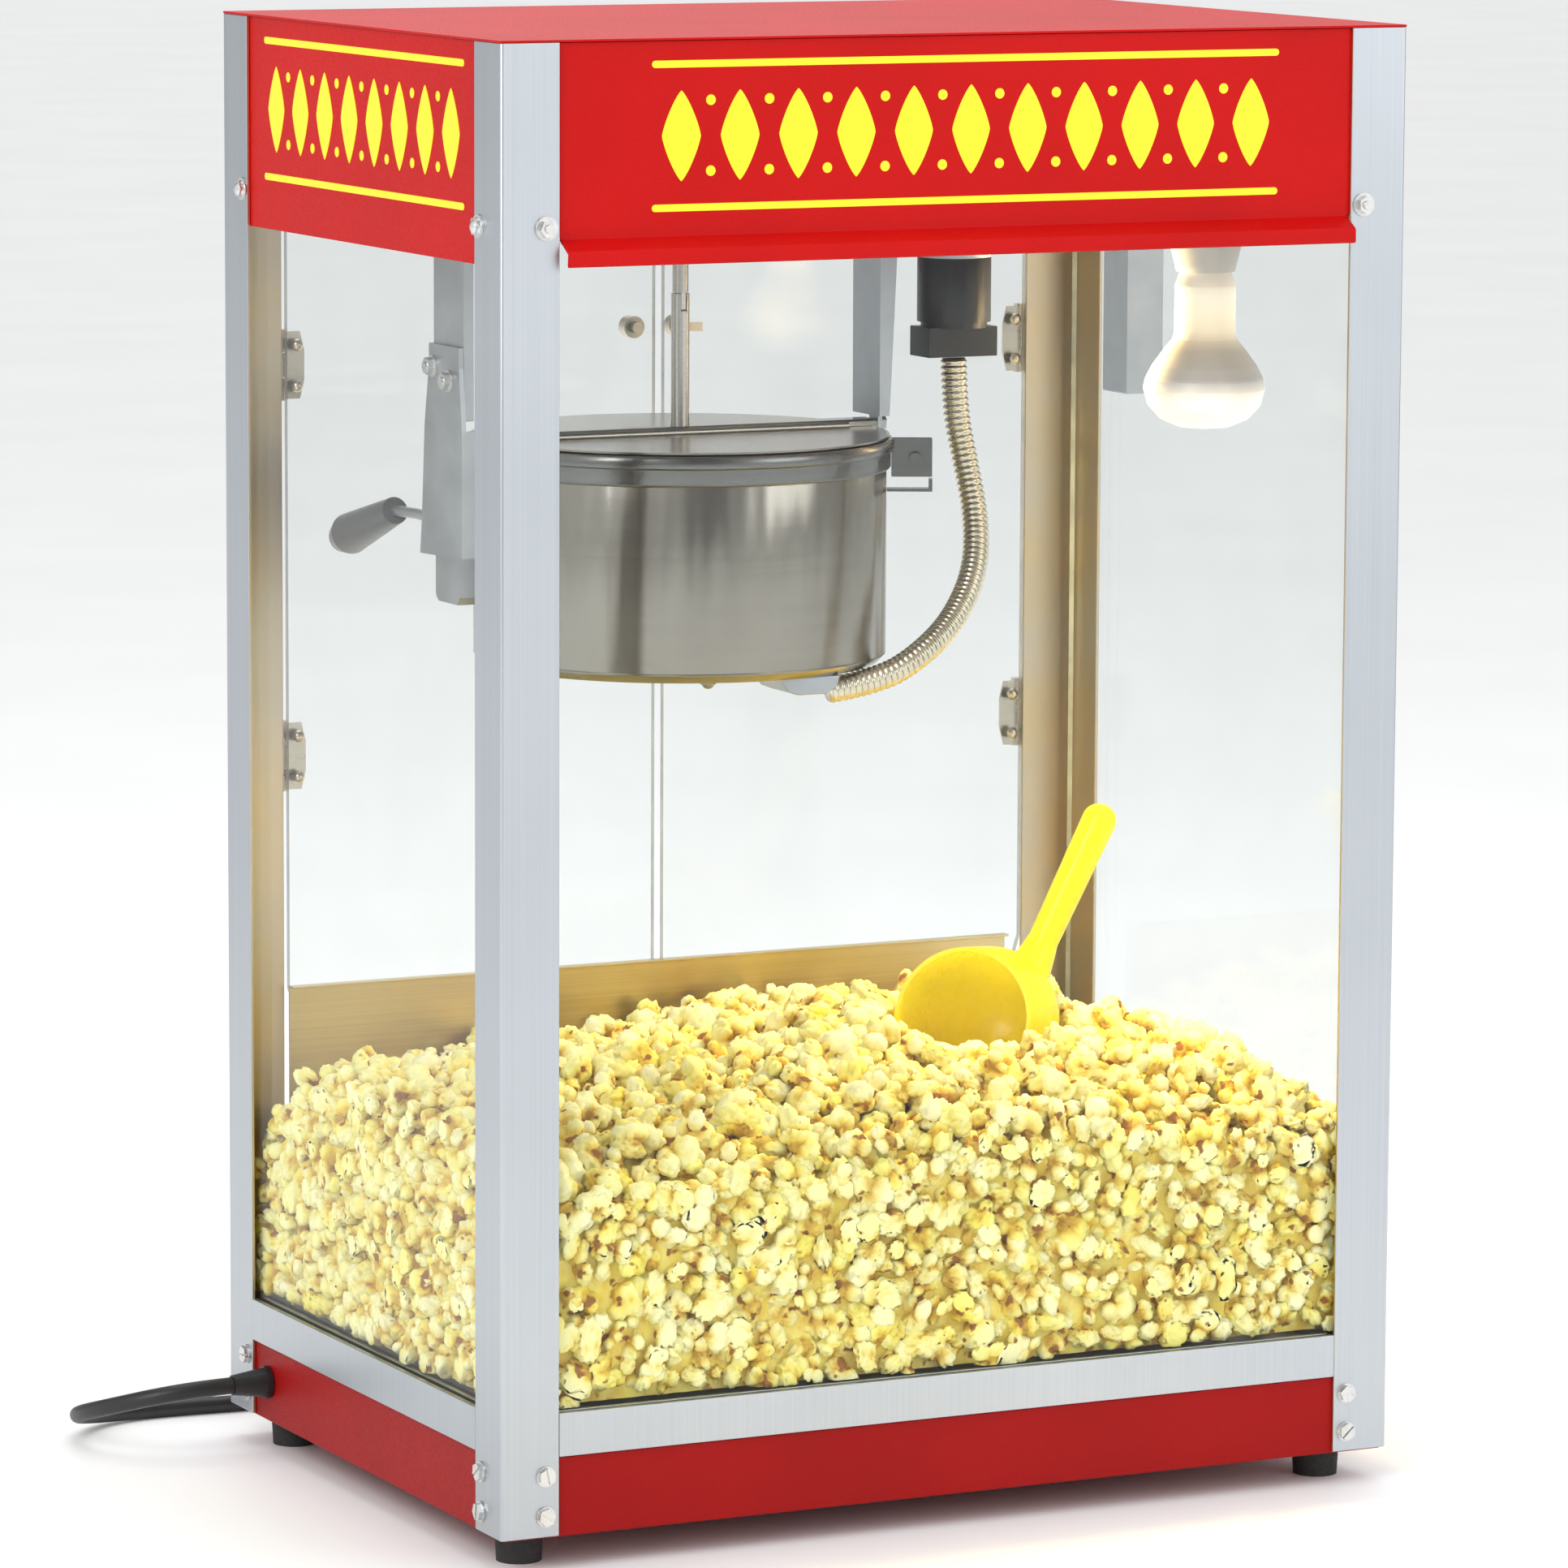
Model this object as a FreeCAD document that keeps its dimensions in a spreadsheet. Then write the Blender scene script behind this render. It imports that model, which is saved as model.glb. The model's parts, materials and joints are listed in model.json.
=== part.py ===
import FreeCAD, Part
import math
import os
import Sketcher

# Counter-top popcorn maker. Millimetres. X to the right, Y to the operator's side (back), Z up.
# Origin: centre of the footprint, at the underside of the rubber feet.
V = FreeCAD.Vector
doc = FreeCAD.newDocument("popcorn_maker")

# ---------------------------------------------------------------- driving dimensions
sheet = doc.addObject("Spreadsheet::Sheet", "Dims")
DIMS = [
    ("body_width", 508.0), ("body_depth", 356.0), ("foot_height", 18.0), ("post_height", 742.4),
    ("post_flange", 31.75), ("post_wall", 2.0), ("roof_sheet", 1.2), ("rail_height", 22.3),
    ("base_height", 40.0), ("header_bottom", 651.0), ("glass_thick", 3.0), ("sheet_thick", 1.0),
    ("lip_out", 8.0), ("ceiling_height", 665.0), ("kettle_x", -72.8), ("kettle_radius", 107.0),
    ("kettle_bottom", 431.0), ("kettle_rim", 547.6), ("band_height", 16.2), ("pivot_height", 550.0),
    ("shaft_dia", 9.5), ("bar_width", 16.0), ("bar_height", 5.0), ("foot_dia", 25.0),
    ("door_low", 231.0), ("door_thick", 4.0), ("apron_top", 243.0), ("deck_height", 63.0),
    ("arm_sheet", 2.5), ("left_arm_x", -202.0), ("right_arm_x", 39.3), ("plug_x", 81.0), ("plug_y", -10.0),
    ("lamp_x", 198.0), ("lamp_y", -70.0), ("lamp_dia", 64.0), ("drawer_width", 120.0), ("drawer_depth", 240.0),
    ("cord_dia", 9.0), ("conduit_dia", 14.0), ("hinge_low", 346.8), ("hinge_high", 555.5), ("hinge_length", 37.8),
    ("screw_head", 10.4), ("switch_width", 22.0), ("switch_depth", 27.0),
]
for i, (alias, value) in enumerate(DIMS):
    sheet.set("A%d" % (i + 1), alias)
    sheet.set("B%d" % (i + 1), "%g" % value)
    sheet.setAlias("B%d" % (i + 1), alias)
doc.recompute()


class Q:
    """A number together with the spreadsheet formula that gives it."""

    def __init__(self, v, e):
        self.v, self.e = float(v), e

    @staticmethod
    def of(x):
        return x if isinstance(x, Q) else Q(x, "%.6g" % x)

    def __add__(self, o):
        o = Q.of(o)
        return Q(self.v + o.v, "(%s + %s)" % (self.e, o.e))

    def __sub__(self, o):
        o = Q.of(o)
        return Q(self.v - o.v, "(%s - %s)" % (self.e, o.e))

    def __mul__(self, o):
        o = Q.of(o)
        return Q(self.v * o.v, "(%s * %s)" % (self.e, o.e))

    def __truediv__(self, o):
        o = Q.of(o)
        return Q(self.v / o.v, "(%s / %s)" % (self.e, o.e))

    def __neg__(self):
        return Q(-self.v, "(0 - %s)" % self.e)

    def __radd__(self, o):
        return Q.of(o) + self

    def __rsub__(self, o):
        return Q.of(o) - self

    def __rmul__(self, o):
        return Q.of(o) * self


D = {a: Q(v, "Dims." + a) for a, v in DIMS}
W2, D2 = D["body_width"] / 2, D["body_depth"] / 2
Z0 = D["foot_height"]
ZTOP = Z0 + D["post_height"]
ZB = Z0 + D["base_height"]
ZR = ZB + D["rail_height"]
HB = D["header_bottom"]
XK, RK, KB, KR = D["kettle_x"], D["kettle_radius"], D["kettle_bottom"], D["kettle_rim"]
PZ = D["pivot_height"]
names = {}


def num(x):
    return x.v if isinstance(x, Q) else float(x)


def put(o, prop, x):
    if isinstance(x, Q):
        o.setExpression(prop, x.e)
    else:
        steps = prop.split(".")
        if steps[0] == "Placement":
            p = o.Placement
            b = p.Base
            setattr(b, steps[2], float(x))
            p.Base = b
            o.Placement = p
        else:
            setattr(o, prop, float(x))


ROT = {"z": FreeCAD.Rotation(), "x": FreeCAD.Rotation(V(0, 1, 0), 90), "y": FreeCAD.Rotation(V(1, 0, 0), -90),
       "-z": FreeCAD.Rotation(V(1, 0, 0), 180), "-x": FreeCAD.Rotation(V(0, 1, 0), -90), "-y": FreeCAD.Rotation(V(1, 0, 0), 90)}
count = [0]


def fresh(kind):
    count[0] += 1
    return "%s_%d" % (kind, count[0])


def place(o, x, y, z, rot=None):
    o.Placement = FreeCAD.Placement(V(num(x), num(y), num(z)), rot or FreeCAD.Rotation())
    for k, c in (("x", x), ("y", y), ("z", z)):
        if isinstance(c, Q):
            o.setExpression("Placement.Base." + k, c.e)
    return o


def box(x0, x1, y0, y1, z0, z1):
    o = doc.addObject("Part::Box", fresh("Box"))
    put(o, "Length", x1 - x0)
    put(o, "Width", y1 - y0)
    put(o, "Height", z1 - z0)
    return place(o, x0, y0, z0)


def cyl(x, y, z, r, length, axis="z", rot=None):
    o = doc.addObject("Part::Cylinder", fresh("Cylinder"))
    put(o, "Radius", r)
    put(o, "Height", length)
    return place(o, x, y, z, rot or ROT[axis])


def cone(x, y, z, r1, r2, length, axis="z", rot=None):
    o = doc.addObject("Part::Cone", fresh("Cone"))
    put(o, "Radius1", r1)
    put(o, "Radius2", r2)
    put(o, "Height", length)
    return place(o, x, y, z, rot or ROT[axis])


def ball(x, y, z, r):
    o = doc.addObject("Part::Sphere", fresh("Sphere"))
    put(o, "Radius", r)
    return place(o, x, y, z)


def hexa(x, y, z, across, length, axis="z", spin=0.0):
    o = doc.addObject("Part::Prism", fresh("Hex"))
    o.Polygon = 6
    put(o, "Circumradius", across / math.sqrt(3) if not isinstance(across, Q) else across / math.sqrt(3))
    put(o, "Height", length)
    return place(o, x, y, z, ROT[axis] * FreeCAD.Rotation(V(0, 0, 1), spin))


def fuse(*parts):
    parts = [p for p in parts if p is not None]
    if len(parts) == 1:
        return parts[0]
    o = doc.addObject("Part::MultiFuse", fresh("Fuse"))
    o.Shapes = list(parts)
    return o


def cut(base, *tools):
    o = doc.addObject("Part::Cut", fresh("Cut"))
    o.Base = base
    o.Tool = fuse(*tools)
    return o


def common(a, b):
    o = doc.addObject("Part::Common", fresh("Common"))
    o.Base, o.Tool = a, b
    return o


def mirror_x(a, at=0.0):
    o = doc.addObject("Part::Mirroring", fresh("Mirror"))
    o.Source = a
    o.Normal = V(1, 0, 0)
    o.Base = V(at, 0, 0)
    return o


def label(o, name):
    assert name not in names and len(name) < 60
    o.Label = name
    names[name] = o
    return o


PLANE = {"XY": "XY_Plane", "XZ": "XZ_Plane", "YZ": "YZ_Plane"}


def sketch_on(body, plane, points, offset=0.0):
    """A closed, dimensioned outline on one of the body's own origin planes."""
    s = body.newObject("Sketcher::SketchObject", fresh("Sketch"))
    p = [f for f in body.Origin.OriginFeatures if f.Role == PLANE[plane]][0]
    s.AttachmentSupport = [(p, "")]
    s.MapMode = "FlatFace"
    if isinstance(offset, Q):
        s.AttachmentOffset = FreeCAD.Placement(V(0, 0, offset.v), FreeCAD.Rotation())
        s.setExpression("AttachmentOffset.Base.z", offset.e)
    elif offset:
        s.AttachmentOffset = FreeCAD.Placement(V(0, 0, offset), FreeCAD.Rotation())
    n = len(points)
    pts = [(num(a), num(b)) for a, b in points]
    for i in range(n):
        a, b = pts[i], pts[(i + 1) % n]
        s.addGeometry(Part.LineSegment(V(a[0], a[1], 0), V(b[0], b[1], 0)), False)
    for i in range(n):
        s.addConstraint(Sketcher.Constraint("Coincident", i, 2, (i + 1) % n, 1))
    for i, (a, b) in enumerate(points):
        for kind, c, axis in (("DistanceX", a, -2), ("DistanceY", b, -1)):
            if abs(num(c)) < 1e-7:
                s.addConstraint(Sketcher.Constraint("PointOnObject", i, 1, axis))
            else:
                k = s.addConstraint(Sketcher.Constraint(kind, -1, 1, i, 1, num(c)))
                if isinstance(c, Q):
                    s.setExpression("Constraints[%d]" % k, c.e)
    return s


def new_body():
    return doc.addObject("PartDesign::Body", fresh("Body"))


def pad(body, plane, points, length, offset=0.0, midplane=False, reverse=False):
    s = sketch_on(body, plane, points, offset)
    f = body.newObject("PartDesign::Pad", fresh("Pad"))
    f.Profile = s
    put(f, "Length", length)
    f.Midplane = midplane
    f.Reversed = reverse
    return f


def pocket(body, plane, points, length, offset=0.0, midplane=False, reverse=False):
    s = sketch_on(body, plane, points, offset)
    f = body.newObject("PartDesign::Pocket", fresh("Pocket"))
    f.Profile = s
    put(f, "Length", length)
    f.Midplane = midplane
    f.Reversed = reverse
    return f


def spin_body(points, x=0.0, y=0.0, z=0.0):
    """A turned piece: an outline in the XZ plane revolved about the body's Z axis."""
    b = new_body()
    s = sketch_on(b, "XZ", points)
    f = b.newObject("PartDesign::Revolution", fresh("Revolution"))
    f.Profile = s
    f.ReferenceAxis = (s, ["V_Axis"])
    f.Angle = 360.0
    place(b, x, y, z)
    return b


def rect(x0, x1, y0, y1):
    return [(x0, y0), (x1, y0), (x1, y1), (x0, y1)]


# ---------------------------------------------------------------- corner posts, L section with a rounded outer corner
def post(name, sx, sy):
    b = new_body()
    f, t = D["post_flange"], D["post_wall"]
    cx, cy = sx * 1.0, sy * 1.0
    X, Y = W2 * cx, D2 * cy
    pts = [(X, Y), (X - f * cx, Y), (X - f * cx, Y - t * cy), (X - t * cx, Y - t * cy), (X - t * cx, Y - f * cy), (X, Y - f * cy)]
    pad(b, "XY", pts, D["post_height"], offset=Z0)
    doc.recompute()
    tip = b.Tip
    edge = None
    for i, e in enumerate(tip.Shape.Edges):
        ps = [v.Point for v in e.Vertexes]
        if len(ps) == 2 and all(abs(p.x - X.v) < 1e-4 and abs(p.y - Y.v) < 1e-4 for p in ps):
            edge = "Edge%d" % (i + 1)
    r = b.newObject("PartDesign::Fillet", fresh("Fillet"))
    r.Base = (tip, [edge])
    r.Radius = 1.6
    return label(b, name)


post("post_front_left", -1, -1)
post("post_front_right", 1, -1)
post("post_rear_left", -1, 1)
post("post_rear_right", 1, 1)

# ---------------------------------------------------------------- base pan, feet, rails, deck
t = D["post_wall"]
px, py = W2 - t - 0.1, D2 - t - 0.1
pan = new_body()
pad(pan, "XY", rect(-px, px, -py, py), 41.0, offset=Z0 - 1)
pocket(pan, "XY", rect(1.2 - px, px - 1.2, 1.2 - py, py - 1.2), 41.0, offset=Z0 + 0.2, reverse=True)
dw = D["drawer_width"] / 2
pocket(pan, "XZ", rect(-dw - 1, dw + 1, Z0 + 1.2, Z0 + 35.5), 20.0, offset=-(D2 + 8), reverse=True)
doc.recompute()
hole = cyl(-W2 - 5, 128.3, 38.5, 6.6, 20.0, "x")
label(cut(pan, hole), "base_pan")

feet = []
for sx in (-1, 1):
    for sy in (-1, 1):
        feet.append(cone(230.0 * sx, 146.0 * sy, 0.0, D["foot_dia"] / 2 - 1, D["foot_dia"] / 2, Z0 - 1))
label(fuse(*feet), "rubber_feet")

fl = D["post_flange"]


def rail(name, along, side):
    """Glass rail: a box section between two posts with a groove along the top for the pane."""
    if along == "x":
        half, edge = W2 - fl - 0.1, D2
    else:
        half, edge = D2 - fl - 0.1, W2
    b = new_body()
    s = float(side)
    y0, y1, g0, g1 = edge * s, (edge - 9) * s, (edge - 3.0) * s, (edge - 6.4) * s
    pts = [(y0, ZB + 0.1), (y1, ZB + 0.1), (y1, ZR), (g1, ZR), (g1, ZR - 6), (g0, ZR - 6), (g0, ZR), (y0, ZR)]
    if along == "x":
        pad(b, "YZ", pts, half * 2, midplane=True)
    else:
        pad(b, "XZ", pts, half * 2, midplane=True)
    return label(b, name)


rail("rail_front", "x", -1)
rail("rail_left", "y", -1)
rail("rail_right", "y", 1)
rail("rail_rear", "x", 1)

gx, gy = W2 - 3.2, D2 - 3.2
deck = new_body()
dk = D["deck_height"]
pad(deck, "XY", rect(9.4 - W2, W2 - 9.4, 9.4 - D2, D2 - 9.4), 1.5, offset=dk)
slots = []
for i in range(9):
    slots.append(box(-95.0, 95.0, -30.0 + i * 14, -26.0 + i * 14, dk - 2, dk + 4))
label(cut(deck, *slots), "floor_deck")
# ---------------------------------------------------------------- glass panes
gt = D["glass_thick"]
label(box(-gx + 0.3, gx - 0.3, -gy, gt - gy, ZR - 5.5, HB + 11), "glass_front")
label(box(-gx, gt - gx, gt - gy + 0.5, gy - gt - 1.5, ZR - 5.5, HB + 11), "glass_left")
label(box(gx - gt, gx, gt - gy + 0.5, gy - gt - 1.5, ZR - 5.5, HB + 11), "glass_right")

# ---------------------------------------------------------------- header shell: front panel with proud lip, plain sides and rear, roof
s1 = D["sheet_thick"]
hy = D2 - t - 0.1
hf = new_body()
lo = D["lip_out"]
prof = [(-hy, ZTOP - 0.2), (-hy, HB + 13.5), (-(D2 + lo) + 0.6, HB + 8.0), (-(D2 + lo), HB + 6.5), (-(D2 + lo), HB + 1.0), (-(D2 + lo) + 1.0, HB),
        (-(D2 + lo) + 2.0, HB + 1.0), (-(D2 + lo) + 1.4, HB + 6.5), (s1 - hy, HB + 12.4), (s1 - hy, ZTOP - 0.2)]
pad(hf, "YZ", prof, (W2 - fl - 1.2) * 2, midplane=True)
pad(hf, "YZ", [(-hy, ZTOP - 0.2), (-hy, HB + 14), (s1 - hy, HB + 14), (s1 - hy, ZTOP - 0.2)], (W2 - t - 1.4) * 2, midplane=True)
label(hf, "header_front")
hx = W2 - t - 0.1
label(box(-hx, s1 - hx, 1.6 - hy, hy - 1.6, HB, ZTOP - 0.2), "header_left")
label(box(hx - s1, hx, 1.6 - hy, hy - 1.6, HB, ZTOP - 0.2), "header_right")
label(box(1.4 - hx, hx - 1.4, hy - s1, hy, HB, ZTOP - 0.2), "header_rear")
roof = new_body()
pad(roof, "XY", rect(-W2, W2, -D2, D2), D["roof_sheet"], offset=ZTOP)
pad(roof, "XY", rect(6.0 - W2, W2 - 6, 5.0 - D2, D2 - 5), 7.0, offset=ZTOP, reverse=True)
pocket(roof, "XY", rect(7.2 - W2, W2 - 7.2, 6.2 - D2, D2 - 6.2), 7.0, offset=ZTOP)
label(roof, "roof_panel")
ch = D["ceiling_height"]
label(cut(box(6.4 + 0.8 - W2, W2 - 7.2, 7.2 - D2, D2 - 6, ch, ch + 1.2), cyl(XK, 0.0, ch - 1, 8.0, 4.0),
          cyl(D["plug_x"], D["plug_y"], ch - 1, 17.0, 4.0)), "ceiling_plate")

# ---------------------------------------------------------------- fasteners
sh = D["screw_head"]
low = []
for sx in (-1, 1):
    for sy in (-1, 1):
        for z, spin in ((48.9, 20.0), (28.5, 65.0)):
            for side in ("y", "x"):
                if side == "y":
                    x, y, ax = (W2 - 24.3) * float(sx), D2 * float(sy), "y" if sy > 0 else "-y"
                else:
                    x, y, ax = W2 * float(sx), (D2 - 24.3) * float(sy), "x" if sx > 0 else "-x"
                a = spin + 37.0 * (sx + 2 * sy) + (23.0 if side == "x" else 0.0)
                head = fuse(cyl(x, y, z, sh / 2, 0.9, ax), hexa(x, y, z, 8.0, 3.0, ax, a))
                d = 1.0 if (sx if side == "x" else sy) > 0 else -1.0
                if side == "y":
                    slot = box(-4.5, 4.5, -0.5, 0.5, 0.0, 2.0)
                    slot.Placement = FreeCAD.Placement(V(num(x), num(y) + d * 2.1, z), ROT[ax] * FreeCAD.Rotation(V(0, 0, 1), a + 14)) * FreeCAD.Placement(V(-4.5, -0.5, 0), FreeCAD.Rotation())
                else:
                    slot = box(-4.5, 4.5, -0.5, 0.5, 0.0, 2.0)
                    slot.Placement = FreeCAD.Placement(V(num(x) + d * 2.1, num(y), z), ROT[ax] * FreeCAD.Rotation(V(0, 0, 1), a + 14)) * FreeCAD.Placement(V(-4.5, -0.5, 0), FreeCAD.Rotation())
                low.append(cut(head, slot))
label(fuse(*low), "lower_screws")
up = []
for sx in (-1, 1):
    for sy in (-1, 1):
        ax, ay = ("x" if sx > 0 else "-x"), ("y" if sy > 0 else "-y")
        x, y, z = (W2 - 24.4) * float(sx), D2 * float(sy), 670.2
        up.append(fuse(cyl(x, y, z, 6.0, 1.0, ay), hexa(x, y, z, 8.0, 4.2, ay, 11.0 * sx + 20), cyl(x, y, z, 2.3, 5.6, ay)))
        x, y = W2 * float(sx), (D2 - 26.0) * float(sy)
        up.append(fuse(cyl(x, y, z, 6.0, 1.0, ax), hexa(x, y, z, 8.0, 3.0, ax, 31.0), common(ball(x, y, z, 4.6), cyl(x, y, z, 4.5, 6.0, ax))))
for y, z in ((23.0, 586.0), (2.4, 579.8)):
    x = D["left_arm_x"]
    up.append(fuse(cyl(x, y, z, 5.6, 1.0, "-x"), hexa(x, y, z, 8.0, 4.4, "-x", 17.0), cyl(x, y, z, 2.4, 5.4, "-x")))
label(fuse(*up), "nuts_and_washers")

# ---------------------------------------------------------------- rear apron and doors
label(fuse(box(-221.5, 209.5, D2 - 7.0, D2 - 5.8, ZR + 0.2, D["apron_top"]), box(-221.5, 209.5, D2 - 12.0, D2 - 7.0, D["apron_top"] - 1.2, D["apron_top"])), "rear_apron")
dl, dth = D["door_low"], D["door_thick"]


def door(name, x0, x1):
    b = new_body()
    c = 10.0
    pts = [(x0 + 3, dl), (x1 - 3, dl), (x1, dl + c), (x1, HB - 2.5), (x0, HB - 2.5), (x0, dl + c)]
    pad(b, "XZ", pts, dth, offset=-(D2 - 0.6), reverse=False)
    return label(b, name)


door("door_left", 2.0 - (W2 - fl), -5.5)
door("door_right", 0.0, (W2 - fl) - 2.0)

HLEN = D["hinge_length"]
HY = D2 + 3.9


def hinges(side):
    """Two butt hinges: fixed leaf with pin on the post, moving leaf with the middle knuckle on the door."""
    s = 1.0 if side > 0 else -1.0
    xe = (W2 - fl) * s
    xk = xe - 1.2 * s
    fixed, moving = [], []
    for z in (D["hinge_low"], D["hinge_high"]):
        leaf = box(xe + (0.0 if side > 0 else -16.0), xe + (16.0 if side > 0 else 0.0), D2 + 0.05, D2 + 1.0, z, z + HLEN)
        kn = [fuse(cyl(xk, HY, z + a, 3.0, 12.0), box(xk + (0.0 if side > 0 else -5.0), xk + (5.0 if side > 0 else 0.0), D2 + 0.05, D2 + 1.25, z + a, z + a + 12))
              for a in (0.0, 25.8)]
        web = [box(xk + (1.0 if side > 0 else -2.8), xk + (2.8 if side > 0 else -1.0), D2 + 0.05, D2 + 4.0, z + a, z + a + 12) for a in (0.0, 25.8)]
        fixed.append(fuse(leaf, *kn, *web, cyl(xk, HY, z, 1.5, HLEN)))
        b = new_body()
        x0, x1 = xk - 1.8 * s, xe - 13.5 * s
        x1b = xe - 11.0 * s
        pad(b, "XZ", [(x0, z + 12.5), (xe - 3.2 * s, z + 12.5), (xe - 3.2 * s, z + 1), (x1b, z + 1), (x1, z + 11), (x1, z + 26.8), (x1b, z + 36.8), (xe - 3.2 * s, z + 36.8), (xe - 3.2 * s, z + 25.3), (x0, z + 25.3)],
            1.2, offset=-(D2 + 0.9))
        mv = fuse(b, cyl(xk, HY, z + 12.5, 3.0, 12.8), box(xk + (-2.8 if side > 0 else 1.0), xk + (-1.0 if side > 0 else 2.8), D2 - 0.3, HY, z + 12.5, z + 25.3))
        mv = cut(mv, cyl(xk, HY, z + 12, 1.56, 14.0))
        for a in (8.0, 29.8):
            xs = xe - 7.8 * s
            mv = fuse(mv, cyl(xs, D2 - 5.2, z + a, 1.5, 6.0, "y"), common(ball(xs, D2 - 3.6, z + a, 3.4), cyl(xs, D2 - 8.0, z + a, 3.3, 3.37, "y")), hexa(xs, D2 + 0.85, z + a, 5.5, 2.0, "y"))
        moving.append(mv)
    return fixed, moving


fr, mr = hinges(1)
fls, mls = hinges(-1)
label(fuse(*fr, *fls), "hinge_leaves_fixed")
catch = fuse(cyl(11.0, D2 - 9.0, 588.0, 3.0, 12.0, "y"), box(2.0, 20.0, D2 - 10.5, D2 - 8.0, 585.5, 590.5), cyl(11.0, D2 - 0.55, 588.0, 6.0, 7.55, "y"))
label(fuse(*mr, catch), "door_right_hardware")
knobl = fuse(cyl(-16.0, D2 - 5.2, 588.0, 3.0, 5.0, "y"), cyl(-16.0, D2 - 0.55, 588.0, 6.0, 7.55, "y"))
label(fuse(*mls, knobl), "door_left_hardware")
for nm in ("door_left", "door_right"):
    b = names.pop(nm)
    s = 1.0 if nm == "door_right" else -1.0
    xs = (W2 - fl - 7.8) * s
    tools = [cyl(xs, D2 - 8.0, z + a, 1.62, 16.0, "y") for z in (D["hinge_low"], D["hinge_high"]) for a in (8.0, 29.8)]
    tools.append(cyl(11.0 if s > 0 else -16.0, D2 - 8.0, 588.0, 3.1, 16.0, "y"))
    b.Label = nm + "_blank"
    label(cut(b, *tools), nm)

# ---------------------------------------------------------------- kernel drawer, slides out at the back
dd = D["drawer_depth"]
dr = new_body()
yb = D2 - 4.0
pad(dr, "XY", rect(-dw, dw, yb - dd, yb), 30.0, offset=Z0 + 2)
pocket(dr, "XY", rect(1.5 - dw, dw - 1.5, yb - dd + 1.5, yb - 1.5), 30.0, offset=Z0 + 3.5, reverse=True)
front = box(-dw - 6, dw + 6, D2 + 0.4, D2 + 1.9, Z0 + 1.2, Z0 + 38)
neck = box(-dw, dw, yb - 0.5, D2 + 0.6, Z0 + 2, Z0 + 32)
pull = cut(box(-35.0, 35.0, D2 + 1.8, D2 + 8, Z0 + 14, Z0 + 24), box(-33.0, 33.0, D2 + 1.9, D2 + 6.4, Z0 + 12, Z0 + 22))
label(fuse(dr, neck, front, pull), "kernel_drawer")

# ---------------------------------------------------------------- hanger arms
ax, at = D["left_arm_x"], D["arm_sheet"]
rx = D["right_arm_x"]
hb = new_body()
pad(hb, "YZ", [(-9.5, 560.0), (28.1, 560.0), (28.1, ch), (-9.5, ch)], at, offset=ax + at + 0.1)
pad(hb, "XY", rect(ax + at + 0.1, ax + at + 6, -9.5, -7.0), ch - 560.0, offset=560.0)
label(hb, "hanger_arm_left")
lp = new_body()
pad(lp, "YZ", [(-13.4, 490.0), (40.0, 488.0), (37.4, 510.0), (34.1, 555.0), (28.4, 587.0), (28.4, 597.5), (-9.7, 597.5), (-9.7, 587.0), (-13.4, 555.0)], at, offset=ax)
pad(lp, "XY", rect(ax + at, ax + 12, -13.4, -10.9), 65.0, offset=490.0)
label(fuse(lp, cyl(ax + 1, 0.0, PZ, 1.6, 24.0, "x"), cyl(ax + 1, 0.0, PZ, 4.0, 17.0, "x")), "hanger_plate_left")
ra = new_body()
pad(ra, "YZ", [(-7.0, 553.6), (-5.2, 553.6), (-4.6, 546.6), (-2.4, 544.4), (2.4, 544.4), (4.6, 546.6), (5.2, 553.6), (24.4, 553.6), (24.9, ch), (-7.0, ch)], at, offset=rx)
pad(ra, "XZ", [(rx + 1, 553.6), (rx + at + 3.4, 553.6), (rx + at + 8.6, ch), (rx + 1, ch)], at, offset=7.0, reverse=True)
label(fuse(ra, cyl(31.6, 0.0, PZ, 1.6, 14.0, "x"), hexa(rx + at, 0.0, PZ, 8.0, 3.2, "x", 12.0)), "hanger_arm_right")
# ---------------------------------------------------------------- kettle
bh = D["band_height"]
shell = spin_body([(0.0, KB + 19), (RK - 2.6, KB + 19), (RK - 1.2, KB + 20.4), (RK - 1.2, KR), (RK, KR), (RK, KB + 5), (RK - 1.2, KB + 5), (RK - 1.2, KB + 17.6), (0.0, KB + 17.6)], XK, 0.0, 0.0)
label(shell, "kettle_shell")
cover = spin_body([(0.0, KB), (RK - 4.2, KB), (RK, KB + 4.2), (RK, KB + 4.9), (RK - 1.2, KB + 4.9), (RK - 4.7, KB + 1.2), (0.0, KB + 1.2)], XK, 0.0, 0.0)
stud = fuse(hexa(-84.0, -58.0, KB - 6.0, 8.0, 6.5), ball(-84.0, -58.0, KB - 5.0, 3.6))
label(fuse(cover, stud), "kettle_bottom_cover")
ring = doc.addObject("Part::Torus", fresh("Torus"))
ring.Radius1, ring.Radius2 = 70.0, 5.0
place(ring, XK, 0.0, KB + 12.4)
label(ring, "kettle_heater")
band = spin_body([(RK + 0.05, KR - bh), (RK + 1.4, KR - bh), (RK + 2.2, KR - bh + 1), (RK + 2.2, KR - bh + 8.5), (RK + 3.6, KR - bh + 9.5), (RK + 4.0, KR - 3.0), (RK + 2.6, KR - 0.6), (RK + 0.05, KR - 0.1)], XK, 0.0, 0.0)
th = FreeCAD.Rotation(V(0, 0, 1), -26.0)


def out(r, w, z, dx, dy, dz):
    """A box set radially on the kettle at the clamp's bearing."""
    o = doc.addObject("Part::Box", fresh("Box"))
    o.Length, o.Width, o.Height = dx, dy, dz
    base = V(XK.v, 0, 0) + th.multVec(V(r, w, z))
    o.Placement = FreeCAD.Placement(base, th)
    return o


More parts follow.
